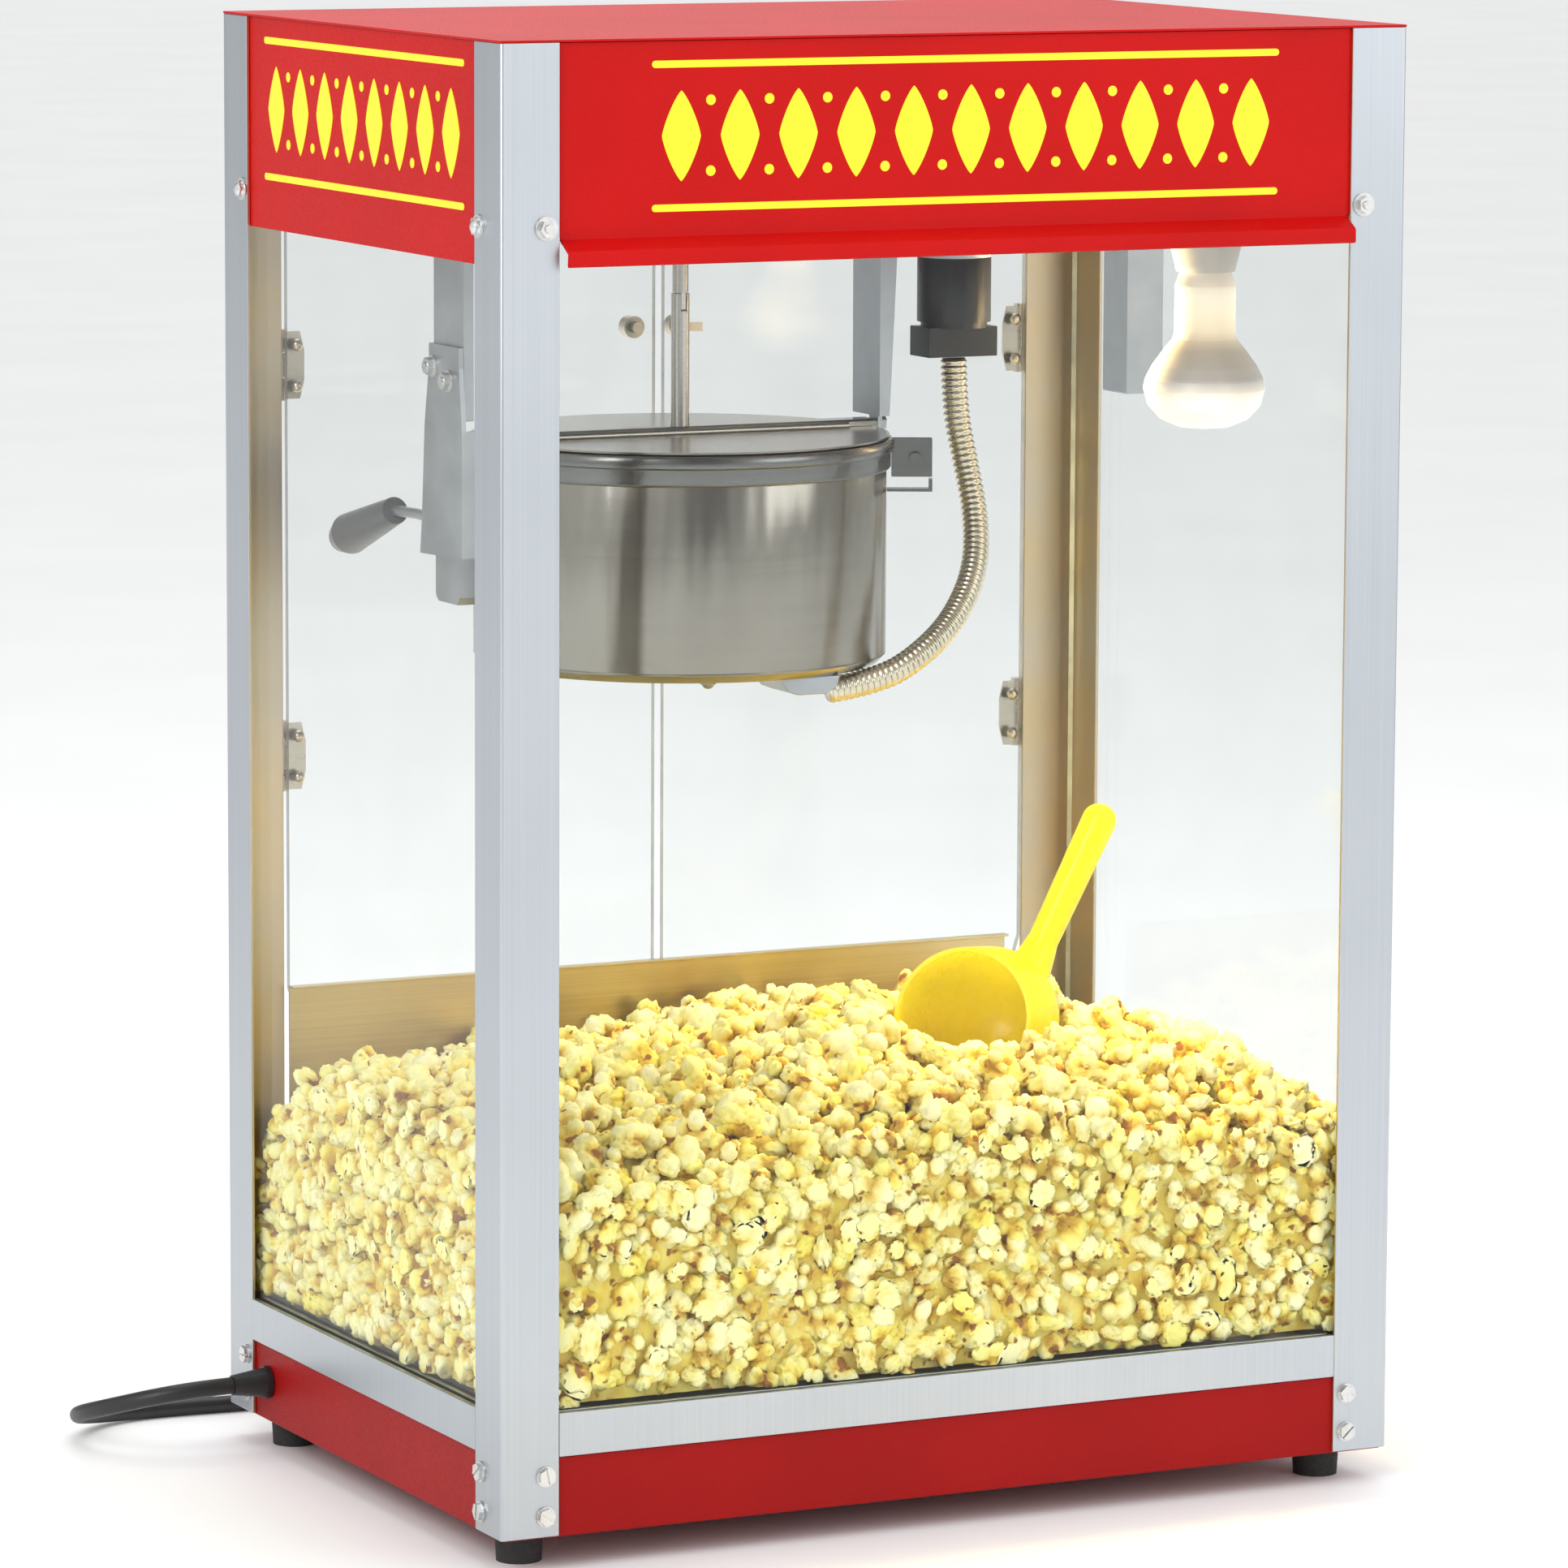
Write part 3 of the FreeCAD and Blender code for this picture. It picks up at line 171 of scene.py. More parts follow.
def clear(name, axis, tint, edge):
    """Thin clear sheet: what is behind it shows, with a Fresnel reflection and a tinted cut edge."""
    mt = bpy.data.materials.new(name)
    mt.use_nodes = True
    nt = mt.node_tree
    nt.nodes.clear()
    out = nt.nodes.new("ShaderNodeOutputMaterial")
    tr = nt.nodes.new("ShaderNodeBsdfTransparent")
    v = coords(nt)
    smear = noise(nt, v, 14.0, 4.0, 0.6)
    nt.links.new(ramp(nt, smear, [(0.3, [c * 0.985 for c in tint]), (0.7, tint)]), tr.inputs["Color"])
    gl = nt.nodes.new("ShaderNodeBsdfGlossy")
    gl.inputs["Color"].default_value = (1, 1, 1, 1)
    nt.links.new(ramp(nt, smear, [(0.35, 0.01), (0.75, 0.05)]), gl.inputs["Roughness"])
    lw = nt.nodes.new("ShaderNodeLayerWeight")
    lw.inputs["Blend"].default_value = 0.5
    pw = nt.nodes.new("ShaderNodeMath")
    pw.operation = "POWER"
    pw.inputs[1].default_value = 5.0
    nt.links.new(lw.outputs["Facing"], pw.inputs[0])
    fr = nt.nodes.new("ShaderNodeMath")
    fr.operation = "MULTIPLY_ADD"
    fr.inputs[1].default_value = 0.6
    fr.inputs[2].default_value = 0.012
    nt.links.new(pw.outputs[0], fr.inputs[0])
    mx = nt.nodes.new("ShaderNodeMixShader")
    nt.links.new(fr.outputs[0], mx.inputs[0])
    nt.links.new(tr.outputs[0], mx.inputs[1])
    nt.links.new(gl.outputs[0], mx.inputs[2])
    ed = nt.nodes.new("ShaderNodeBsdfPrincipled")
    ed.inputs["Roughness"].default_value = 0.25
    ed.inputs["Alpha"].default_value = 0.75
    gn = noise(nt, v, 60.0, 2.0)
    nt.links.new(ramp(nt, gn, [(0.3, edge), (0.7, [min(1, c * 1.5) for c in edge])]), ed.inputs["Base Color"])
    ge = nt.nodes.new("ShaderNodeNewGeometry")
    sp = nt.nodes.new("ShaderNodeSeparateXYZ")
    vt = nt.nodes.new("ShaderNodeVectorTransform")
    vt.vector_type = "NORMAL"
    vt.convert_from = "WORLD"
    vt.convert_to = "OBJECT"
    nt.links.new(ge.outputs["True Normal"], vt.inputs[0])
    nt.links.new(vt.outputs[0], sp.inputs[0])
    ab = nt.nodes.new("ShaderNodeMath")
    ab.operation = "ABSOLUTE"
    nt.links.new(sp.outputs[axis], ab.inputs[0])
    lt = nt.nodes.new("ShaderNodeMath")
    lt.operation = "LESS_THAN"
    lt.inputs[1].default_value = 0.6
    nt.links.new(ab.outputs[0], lt.inputs[0])
    fin = nt.nodes.new("ShaderNodeMixShader")
    nt.links.new(lt.outputs[0], fin.inputs[0])
    nt.links.new(mx.outputs[0], fin.inputs[1])
    nt.links.new(ed.outputs[0], fin.inputs[2])
    nt.links.new(fin.outputs[0], out.inputs["Surface"])
    return mt


# ---------------------------------------------------------------- power cord: made first
CORD = [(-258.0, 128.3, 38.5), (-285.0, 128.3, 38.5), (-312.6, 135.4, 34.9), (-331.4, 154.3, 27.4), (-338.4, 180.8, 19.2), (-331.2, 207.0, 11.6), (-312.0, 226.0, 6.3), (-285.6, 233.2, 4.6),
        (-256.8, 232.6, 4.6), (-228.6, 229.4, 4.6), (-200.0, 230.6, 4.6), (-172.0, 229.5, 4.6)]
CX, CY = -138.0, 279.0
turns = []


def coil_points(total):
    """Turns side by side and stacked: outer then inner on each layer, 14 points a turn."""
    pts, ang, step = [], -math.pi / 2, 2 * math.pi / 14
    plan = [(54.0, 4.6), (45.0, 4.6), (54.0, 13.6), (45.0, 13.6), (50.0, 22.4), (50.0, 22.4)]
    i, run = 0, 0.0
    k = 0
    while run < total and i < 14 * 5 + 9:
        ang_i = ang + step * (i + 1)
        t = (i + 1) / 14.0
        a, f = int(t), t - int(t)
        r0, z0 = plan[min(a, 5)]
        r1, z1 = plan[min(a + 1, 5)]
        w = max(0.0, (f - 0.72) / 0.28)
        w = w * w * (3 - 2 * w)
        r = (r0 + (r1 - r0) * w) / math.cos(step / 2) * 0.994
        z = z0 + (z1 - z0) * w
        pts.append((CX + r * math.cos(ang_i), CY + r * math.sin(ang_i), z))
        run += r * step
        i += 1
    return pts


def make_cord(n_total):
    cu = bpy.data.curves.new("mains_cord", "CURVE")
    cu.dimensions = "3D"
    sp = cu.splines.new("NURBS")
    pts = CORD + coil_points(n_total)
    sp.points.add(len(pts) - 1)
    for q, c in zip(sp.points, pts):
        q.co = (c[0] / 1000.0, c[1] / 1000.0, c[2] / 1000.0, 1.0)
    sp.order_u = 3
    sp.use_endpoint_u = True
    cu.resolution_u = 6
    cu.bevel_depth = 0.0045
    cu.bevel_resolution = 5
    cu.use_fill_caps = True
    ob = bpy.data.objects.new("mains_cord", cu)
    coll.objects.link(ob)
    return ob


cord = make_cord(1490.0)
M = {}
M["cord_black"] = paint("m_cord", (0.010, 0.010, 0.011), (0.018, 0.018, 0.020), 0.42, 500.0, 0.12)
cord.data.materials.append(M["cord_black"])
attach(cord, "cabinet")
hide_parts("power_cord", "power_cord_coil")

# ---------------------------------------------------------------- materials for the carried-over nodes
M["red_paint"] = paint("m_red", (0.45, 0.0016, 0.0014), (0.52, 0.002, 0.0018), 0.42, 700.0, 0.36, 0.14, 0.0)
# painted reflection: the faces of the posts that look into the cabinet are mixed toward a warm colour that stands in
# for the glow of the popcorn reflected in them


def painted_warm_reflection(mt, warm):
    nt = mt.node_tree
    p = next(q for q in nt.nodes if q.type == "BSDF_PRINCIPLED")
    src = p.inputs["Base Color"].links[0].from_socket
    ge = nt.nodes.new("ShaderNodeNewGeometry")
    vt = nt.nodes.new("ShaderNodeVectorTransform")
    vt.vector_type = "NORMAL"
    vt.convert_from = "WORLD"
    vt.convert_to = "OBJECT"
    nt.links.new(ge.outputs["True Normal"], vt.inputs[0])
    flat = nt.nodes.new("ShaderNodeVectorMath")
    flat.operation = "MULTIPLY"
    flat.inputs[1].default_value = (1.0, 1.0, 0.0)
    tc = nt.nodes.new("ShaderNodeTexCoord")
    nt.links.new(tc.outputs["Object"], flat.inputs[0])
    dt = nt.nodes.new("ShaderNodeVectorMath")
    dt.operation = "DOT_PRODUCT"
    nt.links.new(vt.outputs[0], dt.inputs[0])
    nt.links.new(flat.outputs[0], dt.inputs[1])
    lt = nt.nodes.new("ShaderNodeMath")
    lt.operation = "LESS_THAN"
    lt.inputs[1].default_value = -0.1
    nt.links.new(dt.outputs["Value"], lt.inputs[0])
    am = nt.nodes.new("ShaderNodeMath")
    am.operation = "MULTIPLY"
    nt.links.new(lt.outputs[0], am.inputs[0])
    nt.links.new(ramp(nt, noise(nt, coords(nt), 16.0, 3.0, 0.6), [(0.3, 0.55), (0.7, 0.95)]), am.inputs[1])
    mx = nt.nodes.new("ShaderNodeMix")
    mx.data_type = "RGBA"
    nt.links.new(am.outputs[0], mx.inputs[0])
    nt.links.new(src, mx.inputs[6])
    mx.inputs[7].default_value = warm
    nt.links.new(mx.outputs[2], p.inputs["Base Color"])


M["red_base"] = paint("m_red_base", (0.27, 0.003, 0.003), (0.32, 0.004, 0.004), 0.46, 700.0, 0.34, 0.14, 0.0)
M["post_aluminium"] = metal("m_post", (0.45, 0.485, 0.52), (0.54, 0.575, 0.61), 0.34, 0.42, (900, 900, 3), 1.0, 0.05)
# painted reflection: warm popcorn glow painted on the inward faces of the posts
painted_warm_reflection(M["post_aluminium"], (0.66, 0.50, 0.27, 1))
# painted reflection: the golden tint of the rear apron's steel stands in for the popcorn reflected in it
M["apron_steel"] = metal("m_apron_popcorn_reflection", (0.62, 0.48, 0.24), (0.78, 0.65, 0.37), 0.26, 0.38, (3, 500, 900), 1.0, 0.08)
M["stainless"] = metal("m_stainless", (0.50, 0.48, 0.44), (0.66, 0.63, 0.58), 0.26, 0.38, (3, 500, 900), 1.0, 0.08)
M["kettle_steel"] = metal("m_kettle", (0.27, 0.25, 0.22), (0.34, 0.32, 0.28), 0.20, 0.27, (5, 5, 900), 1.0, 0.007, 12.0)
M["band_steel"] = metal("m_band", (0.15, 0.15, 0.145), (0.23, 0.23, 0.22), 0.20, 0.30, (5, 5, 900), 1.0, 0.01, 12.0)
M["galvanised"] = metal("m_galv", (0.34, 0.36, 0.38), (0.50, 0.52, 0.54), 0.34, 0.50, (40, 40, 40), 1.0, 0.05, 30.0)
M["hinge_steel"] = metal("m_hinge", (0.60, 0.52, 0.42), (0.74, 0.66, 0.54), 0.24, 0.38, (60, 60, 300), 1.0, 0.06)
M["motor_grey"] = paint("m_motor", (0.20, 0.21, 0.23), (0.28, 0.29, 0.31), 0.5, 500.0, 0.2)
M["conduit_metal"] = metal("m_conduit", (0.62, 0.56, 0.42), (0.82, 0.76, 0.62), 0.18, 0.32, (120, 120, 120), 1.0, 0.05, 14.0)
M["heater_metal"] = metal("m_heater", (0.20, 0.18, 0.16), (0.36, 0.32, 0.28), 0.4, 0.6, (60, 60, 60))
M["outlet_grey"] = paint("m_outlet", (0.50, 0.51, 0.53), (0.60, 0.61, 0.63), 0.45, 400.0, 0.1)
M["black_plastic"] = paint("m_black", (0.010, 0.010, 0.011), (0.020, 0.020, 0.022), 0.36, 450.0, 0.12)
M["lamp_holder_cream"] = paint("m_holder", (0.62, 0.60, 0.55), (0.72, 0.70, 0.65), 0.4, 300.0, 0.08)
M["grip_plastic"] = paint("m_grip", (0.085, 0.088, 0.092), (0.13, 0.134, 0.14), 0.34, 260.0, 0.10)
M["zinc_fastener"] = metal("m_zinc", (0.58, 0.58, 0.57), (0.76, 0.76, 0.75), 0.22, 0.36, (300, 300, 300), 1.0, 0.08, 40.0)
M["rocker_red"] = paint("m_rocker", (0.42, 0.015, 0.012), (0.52, 0.022, 0.018), 0.2, 200.0, 0.05, 0.5, 0.6)
M["black_rubber"] = paint("m_rubber", (0.014, 0.014, 0.014), (0.028, 0.028, 0.028), 0.75, 600.0, 0.35)
M["yellow_plastic"] = paint("m_yellow", (0.93, 0.78, 0.006), (0.98, 0.84, 0.010), 0.28, 240.0, 0.05, 0.5, 0.5)
mt = M["yellow_plastic"]
nt = mt.node_tree
p = next(q for q in nt.nodes if q.type == "BSDF_PRINCIPLED")
out_ = next(q for q in nt.nodes if q.type == "OUTPUT_MATERIAL")
tl = nt.nodes.new("ShaderNodeBsdfTranslucent")
tl.inputs["Color"].default_value = (0.98, 0.97, 0.08, 1)
mx = nt.nodes.new("ShaderNodeMixShader")
mx.inputs[0].default_value = 0.50
nt.links.new(p.outputs[0], mx.inputs[1])
nt.links.new(tl.outputs[0], mx.inputs[2])
nt.links.new(mx.outputs[0], out_.inputs["Surface"])
M["panel_y"] = clear("m_panel_y", 1, [0.975, 0.985, 0.982], (0.30, 0.29, 0.24))
M["panel_x"] = clear("m_panel_x", 0, [0.975, 0.985, 0.982], (0.38, 0.42, 0.40))

# reflector lamp: silvered neck over a frosted, lit face
mt, nt, p = new_mat("m_bulb")
tc = nt.nodes.new("ShaderNodeTexCoord")
sx = nt.nodes.new("ShaderNodeSeparateXYZ")
nt.links.new(tc.outputs["Object"], sx.inputs[0])
mr = nt.nodes.new("ShaderNodeMapRange")
mr.inputs["From Min"].default_value = 0.5466
mr.inputs["From Max"].default_value = 0.6293
nt.links.new(sx.outputs[2], mr.inputs["Value"])
h = mr.outputs["Result"]
nt.links.new(ramp(nt, h, [(0.0, (1.0, 0.93, 0.78)), (0.20, (1.0, 0.95, 0.86)), (0.34, (0.62, 0.59, 0.55)), (0.52, (0.66, 0.60, 0.50)), (0.72, (1.0, 0.90, 0.70)), (1.0, (0.80, 0.76, 0.70))]), p.inputs["Base Color"])
p.inputs["Roughness"].default_value = 0.22
nt.links.new(ramp(nt, h, [(0.0, (1.0, 0.90, 0.70)), (0.20, (1.0, 0.90, 0.70)), (0.34, (0.10, 0.085, 0.06)), (0.50, (0.16, 0.12, 0.07)), (0.62, (0.80, 0.62, 0.36)), (0.85, (1.0, 0.90, 0.66)), (1.0, (0.35, 0.28, 0.18))]), p.inputs["Emission Color"])
p.inputs["Emission Strength"].default_value = 0.46
bump(nt, p, noise(nt, coords(nt), 300.0, 2.0), 0.05, 0.0003)
M["bulb_glass"] = mt

for sp_ in frame["record"]["subparts"]:
    n, sl = sp_["node"], sp_["material_slot"]
    o = nodes[n]
    key = sl
    if sl in ("clear_panel", "glass"):
        key = "panel_x" if n in ("glass_left", "glass_right") else "panel_y"
    if n == "base_pan":
        key = "red_base"
    if n == "rear_apron":
        key = "apron_steel"
    if n == "kettle_band":
        key = "band_steel"
    if key in M:
        for ms in o.material_slots:
            ms.material = M[key]
        if not o.material_slots:
            o.data.materials.append(M[key])

BEVEL = {"post_front_left": 0.5, "post_front_right": 0.5, "post_rear_left": 0.5, "post_rear_right": 0.5, "rail_front": 0.5, "rail_left": 0.5, "rail_right": 0.5, "rail_rear": 0.5,
         "base_pan": 1.0, "roof_panel": 0.4, "header_front": 0.35, "header_left": 0.35, "header_right": 0.35, "header_rear": 0.35, "rear_apron": 0.3, "kettle_shell": 0.4, "kettle_bottom_cover": 0.4,
         "kettle_band": 0.35, "kettle_crossbar": 0.4, "tilt_lever": 0.8, "kettle_plug": 1.2, "kettle_junction": 0.8, "switch_box": 0.6, "hanger_plate_left": 0.4, "hanger_arm_left": 0.5, "hanger_arm_right": 0.5,
         "power_plug": 1.2, "gearmotor": 0.8, "lower_screws": 0.25, "nuts_and_washers": 0.3, "kernel_drawer": 0.4, "scoop": 0.8, "lamp_holder": 0.5, "rocker_heat": 0.5, "rocker_motor": 0.5, "rocker_light": 0.5}
for n, w in BEVEL.items():
    if n not in nodes:
        continue
    o = nodes[n]
    a = o.modifiers.new("join", "WELD")
    a.merge_threshold = 0.000004
    b = o.modifiers.new("edge", "BEVEL")
    b.width = w / 1000.0
    b.segments = 2
    b.limit_method = "ANGLE"
    b.angle_limit = math.radians(38)
    b.harden_normals = True
    b.use_clamp_overlap = True


def link(name, me, mat, body):
    ob = bpy.data.objects.new(name, me)
    coll.objects.link(ob)
    me.materials.clear()
    me.materials.append(mat)
    if body:
        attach(ob, body)
    return ob


# ---------------------------------------------------------------- flexible conduit
CONDUIT = [(81.0, -10.0, 583.2), (81.5, -10.5, 556.0), (85.5, -16.0, 528.0), (87.0, -26.0, 499.0), (78.0, -42.0, 473.0), (55.0, -62.0, 451.0), (28.0, -77.0, 436.0), (3.0, -80.0, 424.5), (-25.8, -79.0, 421.2)]


def route(pts, res=24):
    cu = bpy.data.curves.new("route", "CURVE")
    cu.dimensions = "3D"
    sp = cu.splines.new("NURBS")
    sp.points.add(len(pts) - 1)
    for q, c in zip(sp.points, pts):
        q.co = (c[0] / 1000.0, c[1] / 1000.0, c[2] / 1000.0, 1.0)
    sp.order_u = 3
    sp.use_endpoint_u = True
    cu.resolution_u = res
    ob = bpy.data.objects.new("route", cu)
    coll.objects.link(ob)
    bpy.context.view_layer.update()
    me = bpy.data.meshes.new_from_object(ob)
    co = np.array([v.co[:] for v in me.vertices])
    bpy.data.objects.remove(ob)
    return co


line = route(CONDUIT)
seg = np.linalg.norm(np.diff(line, axis=0), axis=1)
arc = np.concatenate([[0], np.cumsum(seg)])
total = arc[-1]
PITCH = 0.0034
prof = [(0.0, 0.00610), (0.22, 0.00622), (0.36, 0.00682), (0.52, 0.00700), (0.70, 0.00694), (0.86, 0.00630)]
stations = []
k = 0
while k * PITCH < total - PITCH:
    for f, r in prof:
        stations.append(((k + f) * PITCH, r))
    k += 1
stations.append((total, 0.0061))
S = np.array([s for s, _ in stations])
Rr = np.array([r for _, r in stations])
C = np.stack([np.interp(S, arc, line[:, j]) for j in range(3)], 1)
T = np.gradient(C, S, axis=0)
T /= np.linalg.norm(T, axis=1)[:, None]
N = np.zeros_like(T)
N[0] = np.cross(T[0], (1, 0, 0))
N[0] /= np.linalg.norm(N[0])
for i in range(1, len(T)):
    v = N[i - 1] - T[i] * np.dot(N[i - 1], T[i])
    N[i] = v / np.linalg.norm(v)
B = np.cross(T, N)
SEG = 24
th = np.arange(SEG) * 2 * math.pi / SEG
V3 = (C[:, None, :] + Rr[:, None, None] * (np.cos(th)[None, :, None] * N[:, None, :] + np.sin(th)[None, :, None] * B[:, None, :])).reshape(-1, 3)
faces = []
for i in range(len(S) - 1):
    for j in range(SEG):
        a, b = i * SEG + j, i * SEG + (j + 1) % SEG
        faces.append((a, b, b + SEG, a + SEG))
faces.append(tuple(reversed(range(SEG))))
faces.append(tuple(range((len(S) - 1) * SEG, len(S) * SEG)))
me = bpy.data.meshes.new("conduit")
me.from_pydata(V3.tolist(), [], faces)
me.update()
me.shade_smooth()
conduit = bpy.data.objects.new("conduit", me)
coll.objects.link(conduit)
me.materials.append(M["conduit_metal"])
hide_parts("kettle_conduit")
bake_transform(conduit)

# ---------------------------------------------------------------- header pattern: a plain row of lozenges between two lines, no lettering
M["yellow_print"] = paint("m_print", (0.95, 0.72, 0.004), (1.0, 0.78, 0.008), 0.35, 350.0, 0.06)


def pattern(name, width, height, count, mat, place):
    """A row of rounded lozenges and small dots between two rounded bars, raised 0.2 mm."""
    th = 0.00022
    shapes = []
    step = width / count
    lz_h, lz_w = height * 0.60, step * 0.66
    for i in range(count):
        cx = -width / 2 + step * (i + 0.5)
        ang = [k * math.pi / 24 for k in range(48)]
        e = 2.0 / 1.25
        shapes.append([(cx + lz_w / 2 * math.copysign(abs(math.cos(t)) ** e, math.cos(t)), lz_h / 2 * math.copysign(abs(math.sin(t)) ** e, math.sin(t))) for t in ang])
        if i < count - 1:
            dx = cx + step / 2
            for sy_ in (-1, 1):
                shapes.append([(dx + 0.0026 * math.cos(k * math.pi / 10), sy_ * height * 0.235 + 0.0026 * math.sin(k * math.pi / 10)) for k in range(20)])
    for sy_ in (-1, 1):
        cy, hb_, hl = sy_ * (height / 2 - 0.0018), 0.0018, width / 2 - 0.0018
        pts_ = [(hl + hb_ * math.cos(-math.pi / 2 + k * math.pi / 8), cy + hb_ * math.sin(-math.pi / 2 + k * math.pi / 8)) for k in range(9)]
        pts_ += [(-hl + hb_ * math.cos(math.pi / 2 + k * math.pi / 8), cy + hb_ * math.sin(math.pi / 2 + k * math.pi / 8)) for k in range(9)]
        shapes.append(pts_)
    vs_, fs_ = [], []
    for sh in shapes:
        b0, n0 = len(vs_), len(sh)
        vs_ += [(x, y, -th) for x, y in sh] + [(x, y, th) for x, y in sh]
        fs_.append(tuple(reversed(range(b0, b0 + n0))))
        fs_.append(tuple(range(b0 + n0, b0 + 2 * n0)))
        fs_ += [(b0 + k, b0 + (k + 1) % n0, b0 + n0 + (k + 1) % n0, b0 + n0 + k) for k in range(n0)]
    me = bpy.data.meshes.new(name)
    me.from_pydata(vs_, [], fs_)
    me.transform(place)
    me.update()
    return link(name, me, mat, "cabinet")


def face_at(x, y, z, outward):
    if outward == "front":
        return Matrix.Translation((x, y, z)) @ Matrix.Rotation(math.radians(90), 4, "X")
    if outward == "left":
        return Matrix.Translation((x, y, z)) @ Matrix.Rotation(math.radians(-90), 4, "Z") @ Matrix.Rotation(math.radians(90), 4, "X")
    return Matrix.Translation((x, y, z)) @ Matrix.Rotation(math.radians(90), 4, "Z") @ Matrix.Rotation(math.radians(90), 4, "X")


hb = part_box("header_front")
fy = -0.17592
for side, x, y, outw, w, cnt in (("front", 0.004, fy, "front", 0.352, 11), ("left", -0.25192, -0.002, "left", 0.256, 8), ("right", 0.25192, -0.002, "right", 0.256, 8)):
    pattern("header_pattern_" + side, w, 0.074, cnt, M["yellow_print"], face_at(x, y, 0.7135, outw))

# ---------------------------------------------------------------- popcorn
rng = np.random.default_rng(26)


def height(x, y):
    hh = 214.0 + 14.0 * np.exp(-((x - 60.0) / 120.0) ** 2) - 0.00042 * (y - 5) ** 2 - 16.0 * np.maximum(0.0, (np.abs(y - 5) - 90) / 80.0) ** 2
    hh = hh - 42.0 * np.maximum(0.0, (y - 60) / 110.0) * np.maximum(0.0, (-x - 120) / 130.0)
    hh = hh - 12.0 * np.maximum(0.0, (x - 170) / 76.0)
    return hh + 3.0 * np.sin(x / 31.0) * np.cos(y / 27.0)


def variant(seed):
    r = np.random.default_rng(seed)
    bm = bmesh.new()
    bmesh.ops.create_icosphere(bm, subdivisions=5, radius=1.0)
    u = np.array([v.co[:] for v in bm.verts])
    u /= np.linalg.norm(u, axis=1)[:, None]
    t = np.full(len(u), 0.38)
    n = int(r.integers(4, 8))
    for _ in range(n):
        d = r.normal(size=3)
        d[2] *= 0.75
        d /= np.linalg.norm(d)
        c = d * r.uniform(0.28, 0.58)
        rad = r.uniform(0.30, 0.54)
        b = u @ c
        disc = rad * rad - c @ c + b * b
        hit = disc > 0
        tt = np.where(hit, b + np.sqrt(np.maximum(disc, 0)), 0)
        t = np.maximum(t, tt)
    a = r.normal(size=(6, 3)) * 5.0
    ph = r.uniform(0, 6.28, 6)
    w = sum(np.sin(u @ a[i] * 1.4 + ph[i]) for i in range(6)) / 6
    w2 = sum(np.sin(u @ a[i] * 3.1 + ph[i] * 2.0) for i in range(6)) / 6
    w3 = sum(np.sin(u @ a[i] * 5.2 + ph[i] * 3.0) for i in range(6)) / 6
    ridge = 1.0 - np.abs(w) * 5.0
    t = t * (1 + 0.12 * w + 0.11 * w2 + 0.06 * w3 + 0.10 * np.clip(ridge, -1, 1))
    for v, q in zip(bm.verts, u * t[:, None]):
        v.co = q
    me = bpy.data.meshes.new("v")
    bm.to_mesh(me)
    bm.free()
    ob = bpy.data.objects.new("v", me)
    coll.objects.link(ob)
    sm = ob.modifiers.new("s", "SMOOTH")
    sm.factor = 0.5
    sm.iterations = 1
    dm = ob.modifiers.new("d", "DECIMATE")
    dm.ratio = 0.13
    dg = bpy.context.evaluated_depsgraph_get()
    ev = ob.evaluated_get(dg)
    m2 = bpy.data.meshes.new_from_object(ev)
    bm = bmesh.new()
    bm.from_mesh(m2)
    bmesh.ops.triangulate(bm, faces=bm.faces)
    co = np.array([v.co[:] for v in bm.verts])
    fc = np.array([[v.index for v in f.verts] for f in bm.faces])
    bm.free()
    bpy.data.objects.remove(ob)
    bpy.data.meshes.remove(m2)
    rad = np.linalg.norm(co, axis=1)
    co = co / np.percentile(rad, 97)
    return co, fc, np.clip((rad / rad.max() - 0.42) / 0.5, 0, 1)


VAR = [variant(100 + i) for i in range(12)]
BD = np.array((-0.751, -0.646, 0.127))
BD /= np.linalg.norm(BD)
BO = np.array((113.0, 5.8, 227.9))
HA = np.array((0.4674, 0.0, 0.8841))
HA /= np.linalg.norm(HA)


def seg_dist(P, A, D, L):
    t = np.clip((P - A) @ D, 0, L)
    return np.linalg.norm(P - A - t[:, None] * D, axis=1)


cand = []
sp = 13.8


def grid(u0, u1, v0, v1, s):
    rows = []
    v, odd = v0, 0
    while v <= v1:
        u = u0 + (s / 2 if odd else 0)
        while u <= u1:
            rows.append((u, v))
            u += s
        v += s * 0.866
        odd = 1 - odd
    return np.array(rows) + rng.uniform(-0.28 * s, 0.28 * s, (len(rows), 2))


g = grid(-240, 241, -165, 163, sp)
hz = height(g[:, 0], g[:, 1])
cand.append(np.c_[g, hz - 3.5 + rng.uniform(-4.5, 5.5, len(g))])
g = grid(-236, 237, -160, 158, 19.0)
cand.append(np.c_[g, height(g[:, 0], g[:, 1]) + rng.uniform(3.0, 8.0, len(g))][rng.random(len(g)) < 0.42])
g = grid(-241, 242, 88.0, 235.0, sp)
keep = g[:, 1] < height(g[:, 0], -165.0) - 4
g = g[keep]
cand.append(np.c_[g[:, 0], -166.2 + rng.uniform(-1.5, 4.0, len(g)), g[:, 1]])
for sx_ in (-1, 1):
    g = grid(-164, 164, 88.0, 235.0, sp)
    keep = g[:, 1] < height(sx_ * 240.0, g[:, 0]) - 4
    g = g[keep]
    cand.append(np.c_[sx_ * (241.4 + rng.uniform(-4.0, 1.5, len(g))), g[:, 0], g[:, 1]])
P = np.concatenate(cand)
rad = rng.uniform(8.8, 12.8, len(P))
up = np.min([seg_dist(P - HA * s, BO, BD, 40.0) for s in (0.0, 10.0, 20.0, 30.0, 45.0)], axis=0)
front = (P - BO) @ BD
ok = (up > 38.6 + rad * 0.92) & (seg_dist(P, np.array((131.5, 0.0, 247.1)), HA, 130.0) > 11 + rad)
P, rad = P[ok], rad[ok]
order = np.argsort(P[:, 0] + 0.001 * P[:, 1])
P, rad = P[order], rad[order]


